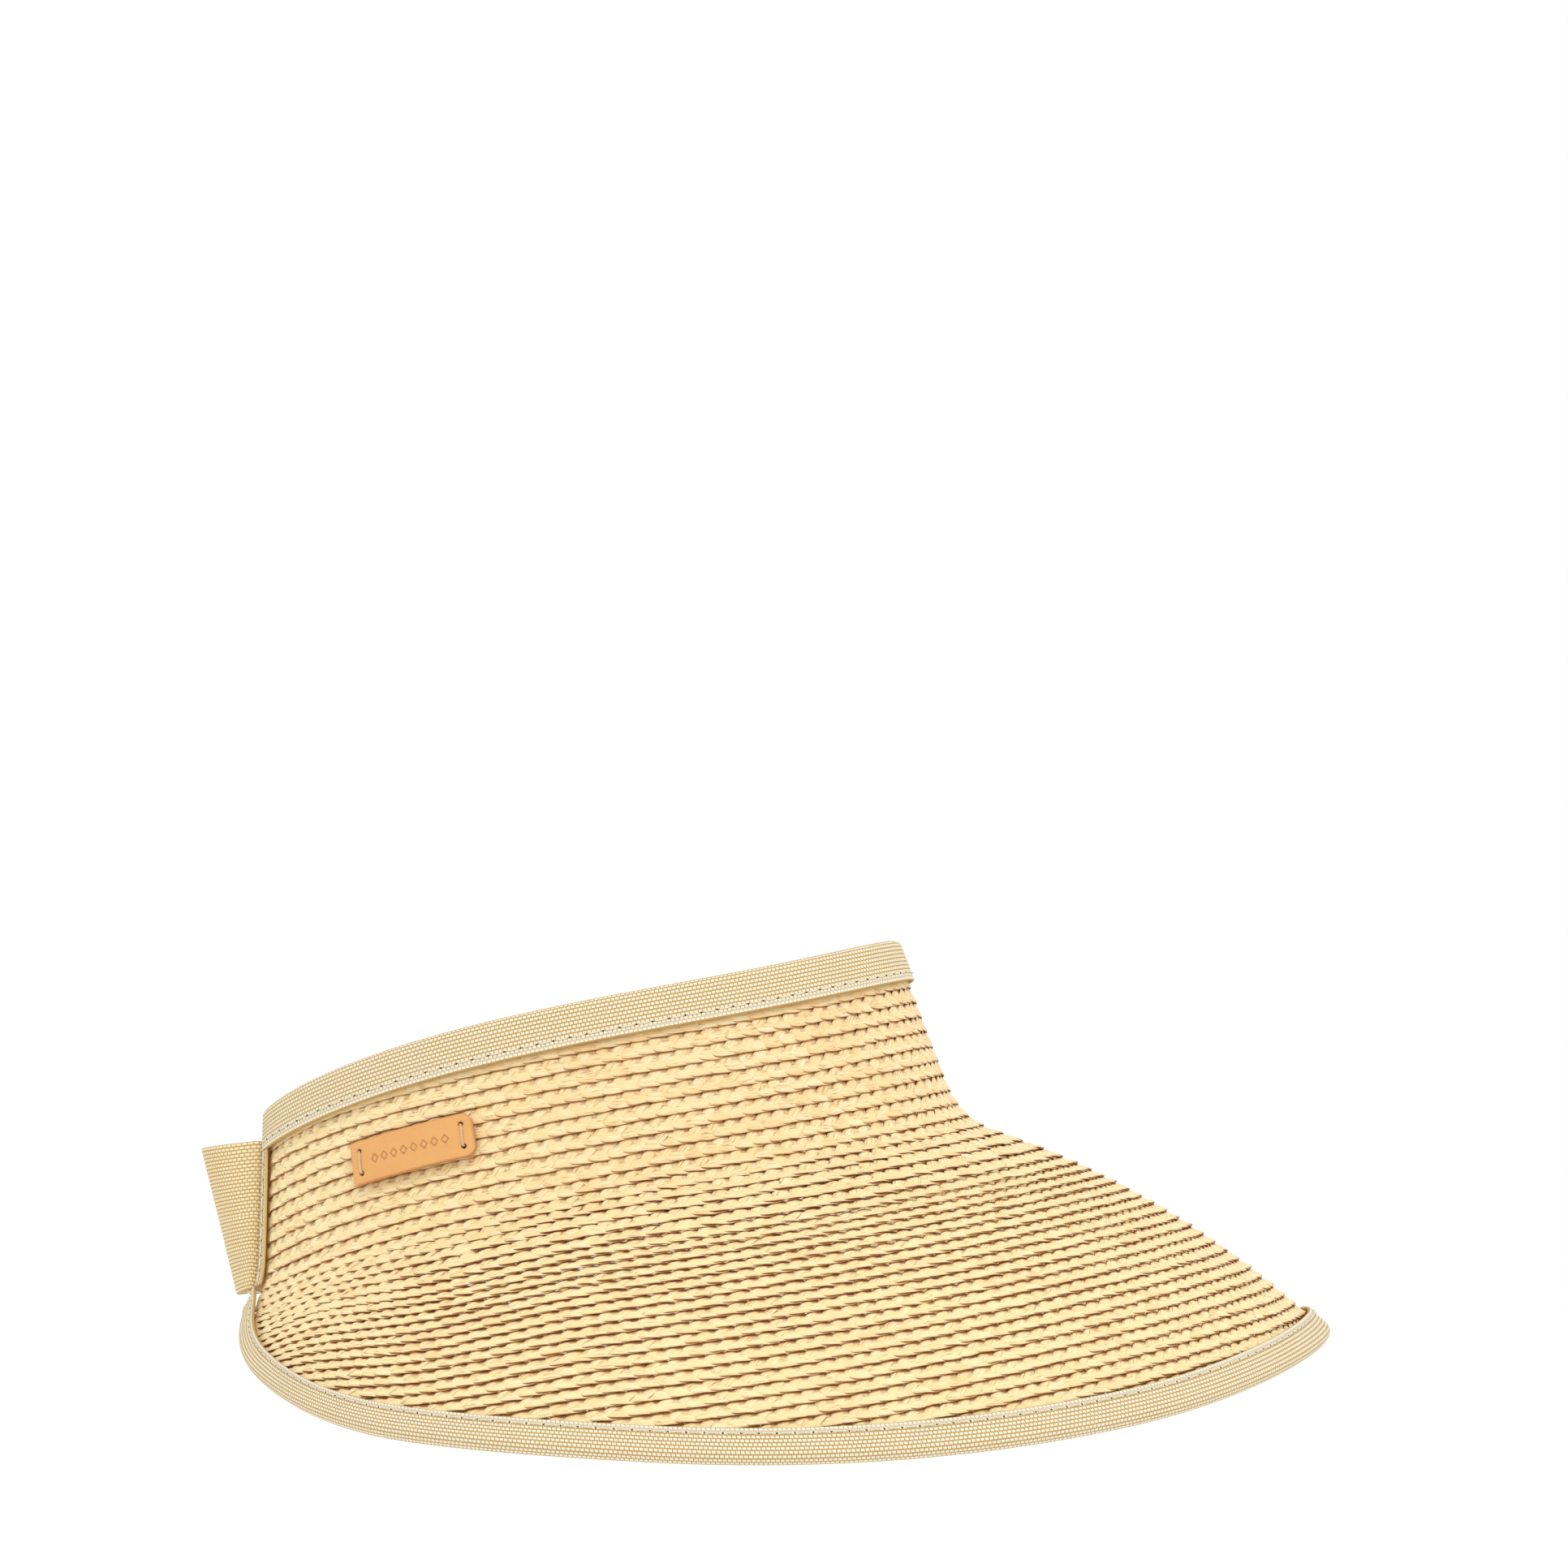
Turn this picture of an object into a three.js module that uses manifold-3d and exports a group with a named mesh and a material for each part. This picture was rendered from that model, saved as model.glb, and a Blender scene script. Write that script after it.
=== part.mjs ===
import * as THREE from 'three';
import { mergeVertices } from 'three/addons/utils/BufferGeometryUtils.js';
import Module from 'manifold-3d';

// An open-backed straw sun visor. Millimetres, +X to the front of the brim, +Z up.
// A point of the visor is (angle, depth, out): the angle round the head from the front,
// the distance down from the line where crown and brim meet, and the height above the straw.

// the line where the crown turns into the brim
const BREAK_CENTRE_X = -49.4;
const BREAK_HALF_LENGTH = 100.6;
const BREAK_HALF_WIDTH = 75.5;
const BREAK_HEIGHT = 69.2;
const BREAK_TILT = 25;
const BREAK_SAG = -2.3;
const BREAK_TWIST = 1.5;

// the slant of crown and brim away from upright, in degrees
const CROWN_LEAN = { mean: 13.6, tilt: 8, sag: -0.9 };
const BRIM_FLARE_START = { front: 73, side: 67, back: 41 };
const BRIM_FLARE_END = { front: 45.5, side: 26.6, back: 31.4 };
const FLARE_LENGTH = 120;
const FILLET = 12;

// how far the straw runs
const BACK_ANGLE = 160;
const CORNER_ANGLE = 98;
const CROWN_HEIGHT = 52;
const BRIM_ANGLES = [0, 45, 90, 115, 140, BACK_ANGLE];
const BRIM_DEPTHS = [117.8, 123.9, 106.2, 82.4, 41.2, 7.8];

// thicknesses
const STRAW = 3;
const RIBBON = 0.8;
const GAP = 0.3;
const BINDING_GAP = 0.4;
const WIRE_RADIUS = 0.75;

// ribbons
const TOP_BINDING_WIDTH = 12.3;
const BRIM_BINDING_WIDTH = 8.9;
const END_BINDING_WIDTH = 3.5;
const BINDING_OVERRUN = 0.8;
const SWEATBAND_TOP = -38;
const SWEATBAND_BOTTOM = -10;
const SWEATBAND_END_ANGLE = 142;
const STRAP_TOP = -43;
const STRAP_BOTTOM = -1;
const STRAP_ROOT_LENGTH = 16;

// the closure behind the head
const LOOP_DEPTH_TOP = 18;
const LOOP_DEPTH_BOTTOM = 6.1;
const LOOP_DIP = 1.8;
const TAB_END_ANGLE = 30;
const INNER_TAB_LAYER = -3.5;
const INNER_TAB_EASING = 50;
const PATCH_ANGLE = 24;
const PATCH_MARGIN = 0.09;
const HOOK_THICKNESS = 0.8;
const LOOP_THICKNESS = 1;

// the leather label and its thread
const LABEL_ANGLE = 117.8;
const LABEL_DEPTH = -22.4;
const LABEL_SLOPE = 0.03; // the front end hangs a little lower on the rows than the rear end
const LABEL_LENGTH = 36.5;
const LABEL_HEIGHT = 12;
const LABEL_THICKNESS = 1.8;
const LABEL_CORNER_FRONT = 3.2;
const LABEL_CORNER_REAR = 1.4;
const LABEL_LIFT = 0.4;
const HOLE_RADIUS = 0.8;
const HOLE_INSET_LENGTH = 3.2;
const HOLE_INSET_HEIGHT = 2.9;
const THREAD_RADIUS = 0.45;

// the blank care label inside
const CARE_ANGLE = 112;
const CARE_WIDTH = 14;
const CARE_TOP = -34;
const CARE_BOTTOM = -14;
const CARE_THICKNESS = 0.4;

// how finely the closure is divided
const TAB_STEPS = 16;
const PATCH_STEPS = 8;

const LOOKS = {
  crown: { color: 0xe9c98c, roughness: 0.75, metalness: 0 },
  brim: { color: 0xefd79b, roughness: 0.75, metalness: 0 },
  ribbon: { color: 0xe3d5b4, roughness: 0.85, metalness: 0 },
  endRibbon: { color: 0xd8c59c, roughness: 0.85, metalness: 0 },
  wire: { color: 0xb9bcc0, roughness: 0.35, metalness: 1 },
  cotton: { color: 0xf2ead8, roughness: 0.9, metalness: 0 },
  satin: { color: 0xf7f5f0, roughness: 0.6, metalness: 0 },
  leather: { color: 0xd8935a, roughness: 0.55, metalness: 0 },
  thread: { color: 0xf0e2c4, roughness: 0.8, metalness: 0 },
  tape: { color: 0xd9cfb8, roughness: 0.95, metalness: 0 },
};

const STEP = 1;
const RIGHT = 1;
const LEFT = -1;
const radians = THREE.MathUtils.degToRad;

function ease(x) {
  const t = Math.min(Math.max(x, 0), 1);
  return t * t * (3 - 2 * t);
}

function breakLine(angle) {
  const a = radians(angle);
  return new THREE.Vector3(
    BREAK_CENTRE_X + BREAK_HALF_LENGTH * Math.cos(a),
    -BREAK_HALF_WIDTH * Math.sin(a),
    BREAK_HEIGHT + BREAK_TILT * Math.cos(a) + BREAK_SAG * Math.cos(2 * a) + BREAK_TWIST * Math.cos(3 * a),
  );
}

function frontSideBack(angle, { front, side, back }) {
  const a = Math.abs(angle);
  if (a < 90) return front + (side - front) * ease(a / 90);
  return side + (back - side) * ease((a - 90) / (BACK_ANGLE - 90));
}

// Smooth curve through the brim depths, level at the front.
function brimDepth(angle) {
  const a = Math.min(Math.abs(angle), BACK_ANGLE);
  const last = BRIM_ANGLES.length - 1;
  const slope = (i) => {
    if (i === 0) return 0;
    const j = Math.min(i + 1, last);
    const rise = BRIM_DEPTHS[j] - BRIM_DEPTHS[i - 1];
    return rise / (BRIM_ANGLES[j] - BRIM_ANGLES[i - 1]);
  };
  let i = 0;
  while (i < last - 1 && a > BRIM_ANGLES[i + 1]) i += 1;
  const h = BRIM_ANGLES[i + 1] - BRIM_ANGLES[i];
  const t = (a - BRIM_ANGLES[i]) / h;
  return BRIM_DEPTHS[i] * (2 * t ** 3 - 3 * t ** 2 + 1) + slope(i) * h * (t ** 3 - 2 * t ** 2 + t)
    + BRIM_DEPTHS[i + 1] * (-2 * t ** 3 + 3 * t ** 2) + slope(i + 1) * h * (t ** 3 - t ** 2);
}

// The line of the straw across the band at one angle, as a function of depth and out.
const meridians = new Map();
function meridian(angle) {
  if (meridians.has(angle)) return meridians.get(angle);
  const a = radians(angle);
  const along = breakLine(angle + 0.05).sub(breakLine(angle - 0.05)).normalize();
  const flat = new THREE.Vector3(Math.cos(a) / BREAK_HALF_LENGTH, -Math.sin(a) / BREAK_HALF_WIDTH, 0);
  flat.normalize();
  const up = new THREE.Vector3().crossVectors(flat, along).normalize();
  if (up.z < 0) up.negate();
  const outward = new THREE.Vector3().crossVectors(along, up).normalize();
  if (outward.dot(flat) < 0) outward.negate();
  const lean = CROWN_LEAN.mean + CROWN_LEAN.tilt * Math.cos(a) + CROWN_LEAN.sag * Math.cos(2 * a);
  const start = frontSideBack(angle, BRIM_FLARE_START);
  const end = frontSideBack(angle, BRIM_FLARE_END);
  const slant = (depth) => {
    const brim = start + (end - start) * Math.min(Math.max(depth / FLARE_LENGTH, 0), 1.2);
    return radians(lean + (brim - lean) * ease((depth + FILLET) / (2 * FILLET)));
  };
  const base = breakLine(angle);
  const at = (depth, out) => {
    const steps = Math.max(1, Math.ceil(Math.abs(depth) / STEP));
    const ds = depth / steps;
    let wide = 0;
    let high = 0;
    for (let i = 0; i < steps; i += 1) {
      const f = slant((i + 0.5) * ds);
      wide += Math.sin(f) * ds;
      high -= Math.cos(f) * ds;
    }
    const f = slant(depth);
    wide += Math.cos(f) * out;
    high += Math.sin(f) * out;
    return base.clone().addScaledVector(outward, wide).addScaledVector(up, high);
  };
  meridians.set(angle, at);
  return at;
}

const strawPoint = (angle, depth, out) => meridian(angle)(depth, out);

// A point near one back end of the straw: `along` is in mm past the cut end, towards the gap.
function endPoint(side, along, depth, out) {
  const end = strawPoint(side * BACK_ANGLE, depth, out);
  const before = strawPoint(side * (BACK_ANGLE - 1), depth, out);
  const perDegree = end.distanceTo(before);
  if (along <= 0) return strawPoint(side * (BACK_ANGLE + along / perDegree), depth, out);
  return end.addScaledVector(end.clone().sub(before).normalize(), along);
}

const group = new THREE.Group();

function addMesh(name, geometry, look) {
  const material = new THREE.MeshStandardMaterial(look);
  const mesh = new THREE.Mesh(geometry, material);
  mesh.name = name;
  group.add(mesh);
  return mesh;
}

function signedVolume(points, triangles) {
  let six = 0;
  for (let i = 0; i < triangles.length; i += 3) {
    const [a, b, c] = [points[triangles[i]], points[triangles[i + 1]], points[triangles[i + 2]]];
    six += a.dot(new THREE.Vector3().crossVectors(b, c));
  }
  return six / 6;
}

// A closed solid swept through stations: outline(station) gives [u, v] corners of the section,
// place(station, u, v) puts a corner in space. Both ends are capped.
function sweep(stations, outline, place) {
  const points = [];
  const triangles = [];
  const sections = stations.map((station) => outline(station));
  const count = sections[0].length;
  stations.forEach((station, i) => {
    for (const [u, v] of sections[i]) points.push(place(station, u, v));
  });
  for (let i = 0; i < stations.length - 1; i += 1) {
    for (let j = 0; j < count; j += 1) {
      const [a, b] = [i * count + j, i * count + (j + 1) % count];
      triangles.push(a, b, b + count, a, b + count, a + count);
    }
  }
  for (const [i, first] of [[0, true], [stations.length - 1, false]]) {
    const shape = sections[i].map(([u, v]) => new THREE.Vector2(u, v));
    const clockwise = THREE.ShapeUtils.isClockWise(shape);
    for (const face of THREE.ShapeUtils.triangulateShape(shape, [])) {
      const [a, b, c] = face.map((k) => i * count + k);
      if (first === clockwise) triangles.push(a, b, c);
      else triangles.push(a, c, b);
    }
  }
  if (signedVolume(points, triangles) < 0) triangles.reverse();
  const geometry = new THREE.BufferGeometry().setFromPoints(points);
  geometry.setIndex(triangles);
  geometry.computeVertexNormals();
  return geometry;
}

function evenly(from, to, count) {
  return Array.from({ length: count + 1 }, (_, i) => from + ((to - from) * i) / count);
}

// The section of a layer between two depths, from `inner` to `outer` above the straw.
function layer(depths, inner, outer) {
  return [...depths.map((d) => [d, outer]), ...depths.slice().reverse().map((d) => [d, inner])];
}

// The section of a ribbon folded over an edge. `edge` is its fold, `free` its two free edges.
function folded(edge, free, count) {
  const towards = Math.sign(free - edge);
  const outside = evenly(free, edge, count);
  const inside = evenly(free, edge + towards * RIBBON, count);
  const far = -STRAW - BINDING_GAP;
  return [
    ...outside.map((d) => [d, BINDING_GAP + RIBBON]),
    ...outside.slice().reverse().map((d) => [d, far - RIBBON]),
    ...inside.map((d) => [d, far]),
    ...inside.slice().reverse().map((d) => [d, BINDING_GAP]),
  ];
}

const oneSide = [...evenly(0, CORNER_ANGLE, 14), ...evenly(CORNER_ANGLE, BACK_ANGLE, 17).slice(1)];
const allRound = [...oneSide.map((a) => -a).reverse().slice(0, -1), ...oneSide];
const bindingEnd = BACK_ANGLE + BINDING_OVERRUN;
const bindingRound = [-bindingEnd, ...allRound, bindingEnd];

// straw
const fold = GAP + RIBBON;
addMesh('crown_band', sweep(
  allRound,
  () => layer([...evenly(-CROWN_HEIGHT + fold, -FILLET, 3), -FILLET / 2, -GAP], -STRAW, 0),
  strawPoint,
), LOOKS.crown);

const wireRoom = fold + 2 * WIRE_RADIUS + GAP;
addMesh('brim', sweep(
  allRound,
  (angle) => {
    const end = brimDepth(angle) - wireRoom;
    const bend = [0, 0.5 * Math.min(FILLET, end)];
    return layer([...bend, ...evenly(Math.min(FILLET, 0.75 * end), end, 8)], -STRAW, 0);
  },
  strawPoint,
), LOOKS.brim);

// ribbon bindings
addMesh('top_binding', sweep(
  bindingRound,
  () => folded(-CROWN_HEIGHT, -CROWN_HEIGHT + TOP_BINDING_WIDTH, 2),
  strawPoint,
), LOOKS.ribbon);

addMesh('brim_binding', sweep(
  bindingRound,
  (angle) => folded(brimDepth(angle), brimDepth(angle) - BRIM_BINDING_WIDTH, 4),
  strawPoint,
), LOOKS.ribbon);

addMesh('brim_wire', sweep(
  allRound,
  (angle) => evenly(0, 315, 7).map((a) => [
    brimDepth(angle) - fold - WIRE_RADIUS + WIRE_RADIUS * Math.cos(radians(a)),
    -STRAW / 2 + WIRE_RADIUS * Math.sin(radians(a)),
  ]),
  strawPoint,
), LOOKS.wire);

const endBindingTop = -CROWN_HEIGHT + TOP_BINDING_WIDTH + GAP;
const endBindingBottom = brimDepth(BACK_ANGLE) - BRIM_BINDING_WIDTH - 2 * GAP;
for (const [side, name] of [[RIGHT, 'end_binding_right'], [LEFT, 'end_binding_left']]) {
  addMesh(name, sweep(
    evenly(endBindingTop, endBindingBottom, 8),
    () => folded(fold, -END_BINDING_WIDTH, 2),
    (depth, along, out) => endPoint(side, along, depth, out),
  ), LOOKS.endRibbon);
}

// inside of the crown
const lining = -STRAW - BINDING_GAP;
addMesh('sweatband', sweep(
  evenly(-SWEATBAND_END_ANGLE, SWEATBAND_END_ANGLE, 44),
  () => layer(evenly(SWEATBAND_TOP, SWEATBAND_BOTTOM, 3), lining - RIBBON, lining),
  strawPoint,
), LOOKS.cotton);

const mmPerDegree = (angle, depth) => (
  strawPoint(angle, depth, 0).distanceTo(strawPoint(angle + 1, depth, 0))
);
const degreesPerMm = 1 / mmPerDegree(CARE_ANGLE, CARE_TOP);
const careHalf = (CARE_WIDTH / 2) * degreesPerMm;
addMesh('care_label', sweep(
  evenly(-CARE_ANGLE - careHalf, -CARE_ANGLE + careHalf, 4),
  () => layer([CARE_TOP, CARE_BOTTOM], lining - RIBBON - GAP - CARE_THICKNESS, lining - RIBBON - GAP),
  strawPoint,
), LOOKS.satin);

// the sewn ends of the closure ribbon, which turn out through the back gap
const strapOuter = lining - RIBBON - GAP;
const strapInner = strapOuter - RIBBON;
const strapAlong = fold + GAP;
const strapOut = BINDING_GAP + RIBBON;
for (const [side, name] of [[RIGHT, 'strap_root_right'], [LEFT, 'strap_root_left']]) {
  addMesh(name, sweep(
    evenly(STRAP_TOP, STRAP_BOTTOM, 8),
    () => [
      [-STRAP_ROOT_LENGTH, strapOuter], [-STRAP_ROOT_LENGTH / 2, strapOuter], [0, strapOuter],
      [strapAlong, strapOuter], [strapAlong, strapOut],
      [strapAlong + RIBBON, strapOut], [strapAlong + RIBBON, strapInner],
      [0, strapInner], [-STRAP_ROOT_LENGTH / 2, strapInner], [-STRAP_ROOT_LENGTH, strapInner],
    ],
    (depth, along, out) => endPoint(side, along, depth, out),
  ), LOOKS.ribbon);
}

// The closure loop: `turn` runs from -90 at the right strap end to 90 at the left one,
// `rise` from 0 at the lower edge to 1 at the upper edge, `out` is across the ribbon.
const hingeOut = strapOut + GAP;
const lower = endPoint(RIGHT, strapAlong, STRAP_BOTTOM, hingeOut);
const upper = endPoint(RIGHT, strapAlong, STRAP_TOP, hingeOut);
function loopPoint(turn, rise, out) {
  const start = lower.clone().lerp(upper, rise);
  const reach = LOOP_DEPTH_BOTTOM + (LOOP_DEPTH_TOP - LOOP_DEPTH_BOTTOM) * rise;
  const halfGap = Math.abs(start.y);
  const t = radians(turn);
  const normal = new THREE.Vector2(-halfGap * Math.cos(t), reach * Math.sin(t)).normalize();
  return new THREE.Vector3(
    start.x - reach * Math.cos(t) + out * normal.x,
    halfGap * Math.sin(t) + out * normal.y,
    start.z - LOOP_DIP * Math.cos(t),
  );
}

function closurePiece(turns, rises, outer, thickness) {
  return sweep(
    turns,
    (turn) => [
      ...rises.map((rise) => [rise, outer(turn)]),
      ...rises.slice().reverse().map((rise) => [rise, outer(turn) - thickness]),
    ],
    loopPoint,
  );
}

const innerLayer = (turn) => INNER_TAB_LAYER * ease((90 - turn) / INNER_TAB_EASING);
const patchRises = [PATCH_MARGIN, 0.5, 1 - PATCH_MARGIN];
addMesh('closure_tab_outer', closurePiece(
  evenly(-90, TAB_END_ANGLE, TAB_STEPS), [0, 0.5, 1], () => 0, RIBBON,
), LOOKS.ribbon);
addMesh('closure_tab_inner', closurePiece(
  evenly(90, -TAB_END_ANGLE, TAB_STEPS), [0, 0.5, 1], innerLayer, RIBBON,
), LOOKS.ribbon);
const patchTurns = evenly(-PATCH_ANGLE, PATCH_ANGLE, PATCH_STEPS);
const loopFace = INNER_TAB_LAYER + GAP + LOOP_THICKNESS;
addMesh('hook_patch', closurePiece(
  patchTurns, patchRises, () => -RIBBON - GAP, HOOK_THICKNESS,
), LOOKS.tape);
addMesh('loop_patch', closurePiece(
  patchTurns, patchRises, () => loopFace, LOOP_THICKNESS,
), LOOKS.tape);

// the leather label
const labelPerMm = 1 / mmPerDegree(LABEL_ANGLE, LABEL_DEPTH);
const labelPoint = (x, depth, out) =>
  strawPoint(LABEL_ANGLE + x * labelPerMm, LABEL_DEPTH + depth - LABEL_SLOPE * x, out);
const halfLength = LABEL_LENGTH / 2;
function labelHalfHeight(x) {
  const corner = x < 0 ? LABEL_CORNER_FRONT : LABEL_CORNER_REAR;
  const past = Math.max(Math.abs(x) - (halfLength - corner), 0);
  return LABEL_HEIGHT / 2 - corner + Math.sqrt(Math.max(corner ** 2 - past ** 2, 0));
}
const cornerStations = (corner) => evenly(0, 90, 4).map(
  (a) => halfLength - corner + corner * Math.sin(radians(a)),
);
const labelStations = [
  ...cornerStations(LABEL_CORNER_FRONT).map((x) => -x).reverse(),
  ...evenly(-halfLength + LABEL_CORNER_FRONT, halfLength - LABEL_CORNER_REAR, 10).slice(1, -1),
  ...cornerStations(LABEL_CORNER_REAR),
];
const labelTop = LABEL_LIFT + LABEL_THICKNESS;
const leather = sweep(
  labelStations,
  (x) => layer([-labelHalfHeight(x), 0, labelHalfHeight(x)], LABEL_LIFT, labelTop),
  labelPoint,
);

const wasm = await Module();
wasm.setup();
function toManifold(geometry) {
  const bare = geometry.clone();
  bare.deleteAttribute('normal');
  bare.deleteAttribute('uv');
  const merged = mergeVertices(bare, 1e-5);
  return new wasm.Manifold(new wasm.Mesh({
    numProp: 3,
    vertProperties: new Float32Array(merged.attributes.position.array),
    triVerts: new Uint32Array(merged.index.array),
  }));
}
function fromManifold(solid) {
  const mesh = solid.getMesh();
  const geometry = new THREE.BufferGeometry();
  geometry.setAttribute('position', new THREE.BufferAttribute(mesh.vertProperties, 3));
  geometry.setIndex(new THREE.BufferAttribute(mesh.triVerts, 1));
  geometry.computeVertexNormals();
  return geometry;
}

const holeX = halfLength - HOLE_INSET_LENGTH;
const holeDepth = LABEL_HEIGHT / 2 - HOLE_INSET_HEIGHT;
function hole(x, depth) {
  const ring = evenly(0, 330, 11).map((a) => [
    x + HOLE_RADIUS * Math.cos(radians(a)), depth + HOLE_RADIUS * Math.sin(radians(a)),
  ]);
  return sweep([LABEL_LIFT - 1, labelTop + 1], () => ring, (out, u, v) => labelPoint(u, v, out));
}
let label = toManifold(leather);
for (const x of [-holeX, holeX]) {
  for (const depth of [-holeDepth, holeDepth]) label = label.subtract(toManifold(hole(x, depth)));
}
addMesh('leather_label', fromManifold(label), LOOKS.leather);

// One stitch: down through a hole, over the leather, and down through the other hole.
function stitch(x) {
  const over = labelTop + GAP + THREAD_RADIUS;
  const path = new THREE.CatmullRomCurve3([
    labelPoint(x, -holeDepth, LABEL_LIFT + GAP),
    labelPoint(x, -holeDepth, labelTop),
    labelPoint(x, -holeDepth + 2 * THREAD_RADIUS, over),
    labelPoint(x, 0, over + THREAD_RADIUS / 2),
    labelPoint(x, holeDepth - 2 * THREAD_RADIUS, over),
    labelPoint(x, holeDepth, labelTop),
    labelPoint(x, holeDepth, LABEL_LIFT + GAP),
  ], false, 'centripetal');
  const round = new THREE.Shape().absarc(0, 0, THREAD_RADIUS, 0, 2 * Math.PI, false);
  return new THREE.ExtrudeGeometry(round, { steps: 18, curveSegments: 6, extrudePath: path });
}
addMesh('label_stitch_rear', stitch(holeX), LOOKS.thread);
addMesh('label_stitch_front', stitch(-holeX), LOOKS.thread);

// rest on z = 0 with the origin under the middle
group.updateMatrixWorld(true);
const box = new THREE.Box3().setFromObject(group, true);
const centre = box.getCenter(new THREE.Vector3());
for (const mesh of group.children) mesh.geometry.translate(-centre.x, -centre.y, -box.min.z);

export default group;
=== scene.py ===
"""A straw sun visor: plaited straw rows, ribbon bindings, a leather label and a ribbon closure.

Lengths are millimetres until a mesh is made. A point of the straw is (angle, depth, out): degrees round
the head from the front, the distance down from the line where crown and brim meet, and the height above
the straw's outer face. Positive angles are on the wearer's right.
"""

import math

import bmesh
import bpy
import numpy as np
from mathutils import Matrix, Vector


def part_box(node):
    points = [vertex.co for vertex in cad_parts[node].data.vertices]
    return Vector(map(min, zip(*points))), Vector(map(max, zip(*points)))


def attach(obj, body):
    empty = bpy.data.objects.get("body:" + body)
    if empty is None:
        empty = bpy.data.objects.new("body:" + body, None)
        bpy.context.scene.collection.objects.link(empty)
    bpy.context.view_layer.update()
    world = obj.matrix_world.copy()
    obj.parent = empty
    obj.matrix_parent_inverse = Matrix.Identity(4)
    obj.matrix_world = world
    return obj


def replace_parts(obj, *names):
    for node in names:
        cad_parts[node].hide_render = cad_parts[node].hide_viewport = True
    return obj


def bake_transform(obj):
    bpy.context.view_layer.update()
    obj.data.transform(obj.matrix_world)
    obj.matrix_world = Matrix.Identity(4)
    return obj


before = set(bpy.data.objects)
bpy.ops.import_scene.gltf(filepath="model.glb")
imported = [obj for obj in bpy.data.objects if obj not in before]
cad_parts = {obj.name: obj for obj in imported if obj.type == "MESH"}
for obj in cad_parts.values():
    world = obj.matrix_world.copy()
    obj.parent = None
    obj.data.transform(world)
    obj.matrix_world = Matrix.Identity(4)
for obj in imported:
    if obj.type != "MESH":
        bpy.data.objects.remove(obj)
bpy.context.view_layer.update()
MM = 0.001

# ---------------------------------------------------------------- the shape of the straw
BACK_ANGLE = 160
CROWN_HEIGHT = 52
STRAW = 3.0
RIBBON = 0.8
BINDING_GAP = 0.4
TOP_BINDING_WIDTH = 12.3
BRIM_BINDING_WIDTH = 8.9
END_BINDING_WIDTH = 3.5
FILLET = 12
WIRE_RADIUS, WIRE_INSET = 0.73, 1.85
BRIM_ANGLES = np.array([0, 45, 90, 115, 140, BACK_ANGLE], float)
BRIM_DEPTHS = np.array([117.8, 123.9, 106.2, 82.4, 41.2, 7.8])
CENTRE_X, HALF_LENGTH, HALF_WIDTH = -49.4, 100.6, 75.5


def ease(x):
    x = np.clip(x, 0, 1)
    return x * x * (3 - 2 * x)


def break_line(angle):
    a = np.radians(angle)
    return np.stack(
        [
            CENTRE_X + HALF_LENGTH * np.cos(a),
            -HALF_WIDTH * np.sin(a),
            69.2 + 25 * np.cos(a) - 2.3 * np.cos(2 * a) + 1.5 * np.cos(3 * a),
        ],
        -1,
    )


def front_side_back(angle, front, side, back):
    a = np.abs(angle)
    ahead = front + (side - front) * ease(a / 90)
    behind = side + (back - side) * ease((a - 90) / (BACK_ANGLE - 90))
    return np.where(a < 90, ahead, behind)


def brim_depth(angle):
    a = np.minimum(np.abs(np.asarray(angle, float)), BACK_ANGLE)
    slopes = np.zeros(len(BRIM_ANGLES))
    slopes[1:-1] = (BRIM_DEPTHS[2:] - BRIM_DEPTHS[:-2]) / (BRIM_ANGLES[2:] - BRIM_ANGLES[:-2])
    slopes[-1] = (BRIM_DEPTHS[-1] - BRIM_DEPTHS[-2]) / (BRIM_ANGLES[-1] - BRIM_ANGLES[-2])
    i = np.clip(np.searchsorted(BRIM_ANGLES, a) - 1, 0, len(BRIM_ANGLES) - 2)
    h = BRIM_ANGLES[i + 1] - BRIM_ANGLES[i]
    t = (a - BRIM_ANGLES[i]) / h
    return (
        BRIM_DEPTHS[i] * (2 * t**3 - 3 * t**2 + 1)
        + slopes[i] * h * (t**3 - 2 * t**2 + t)
        + BRIM_DEPTHS[i + 1] * (3 * t**2 - 2 * t**3)
        + slopes[i + 1] * h * (t**3 - t**2)
    )


def unit(v):
    return v / np.maximum(np.linalg.norm(v, axis=-1, keepdims=True), 1e-9)


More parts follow.
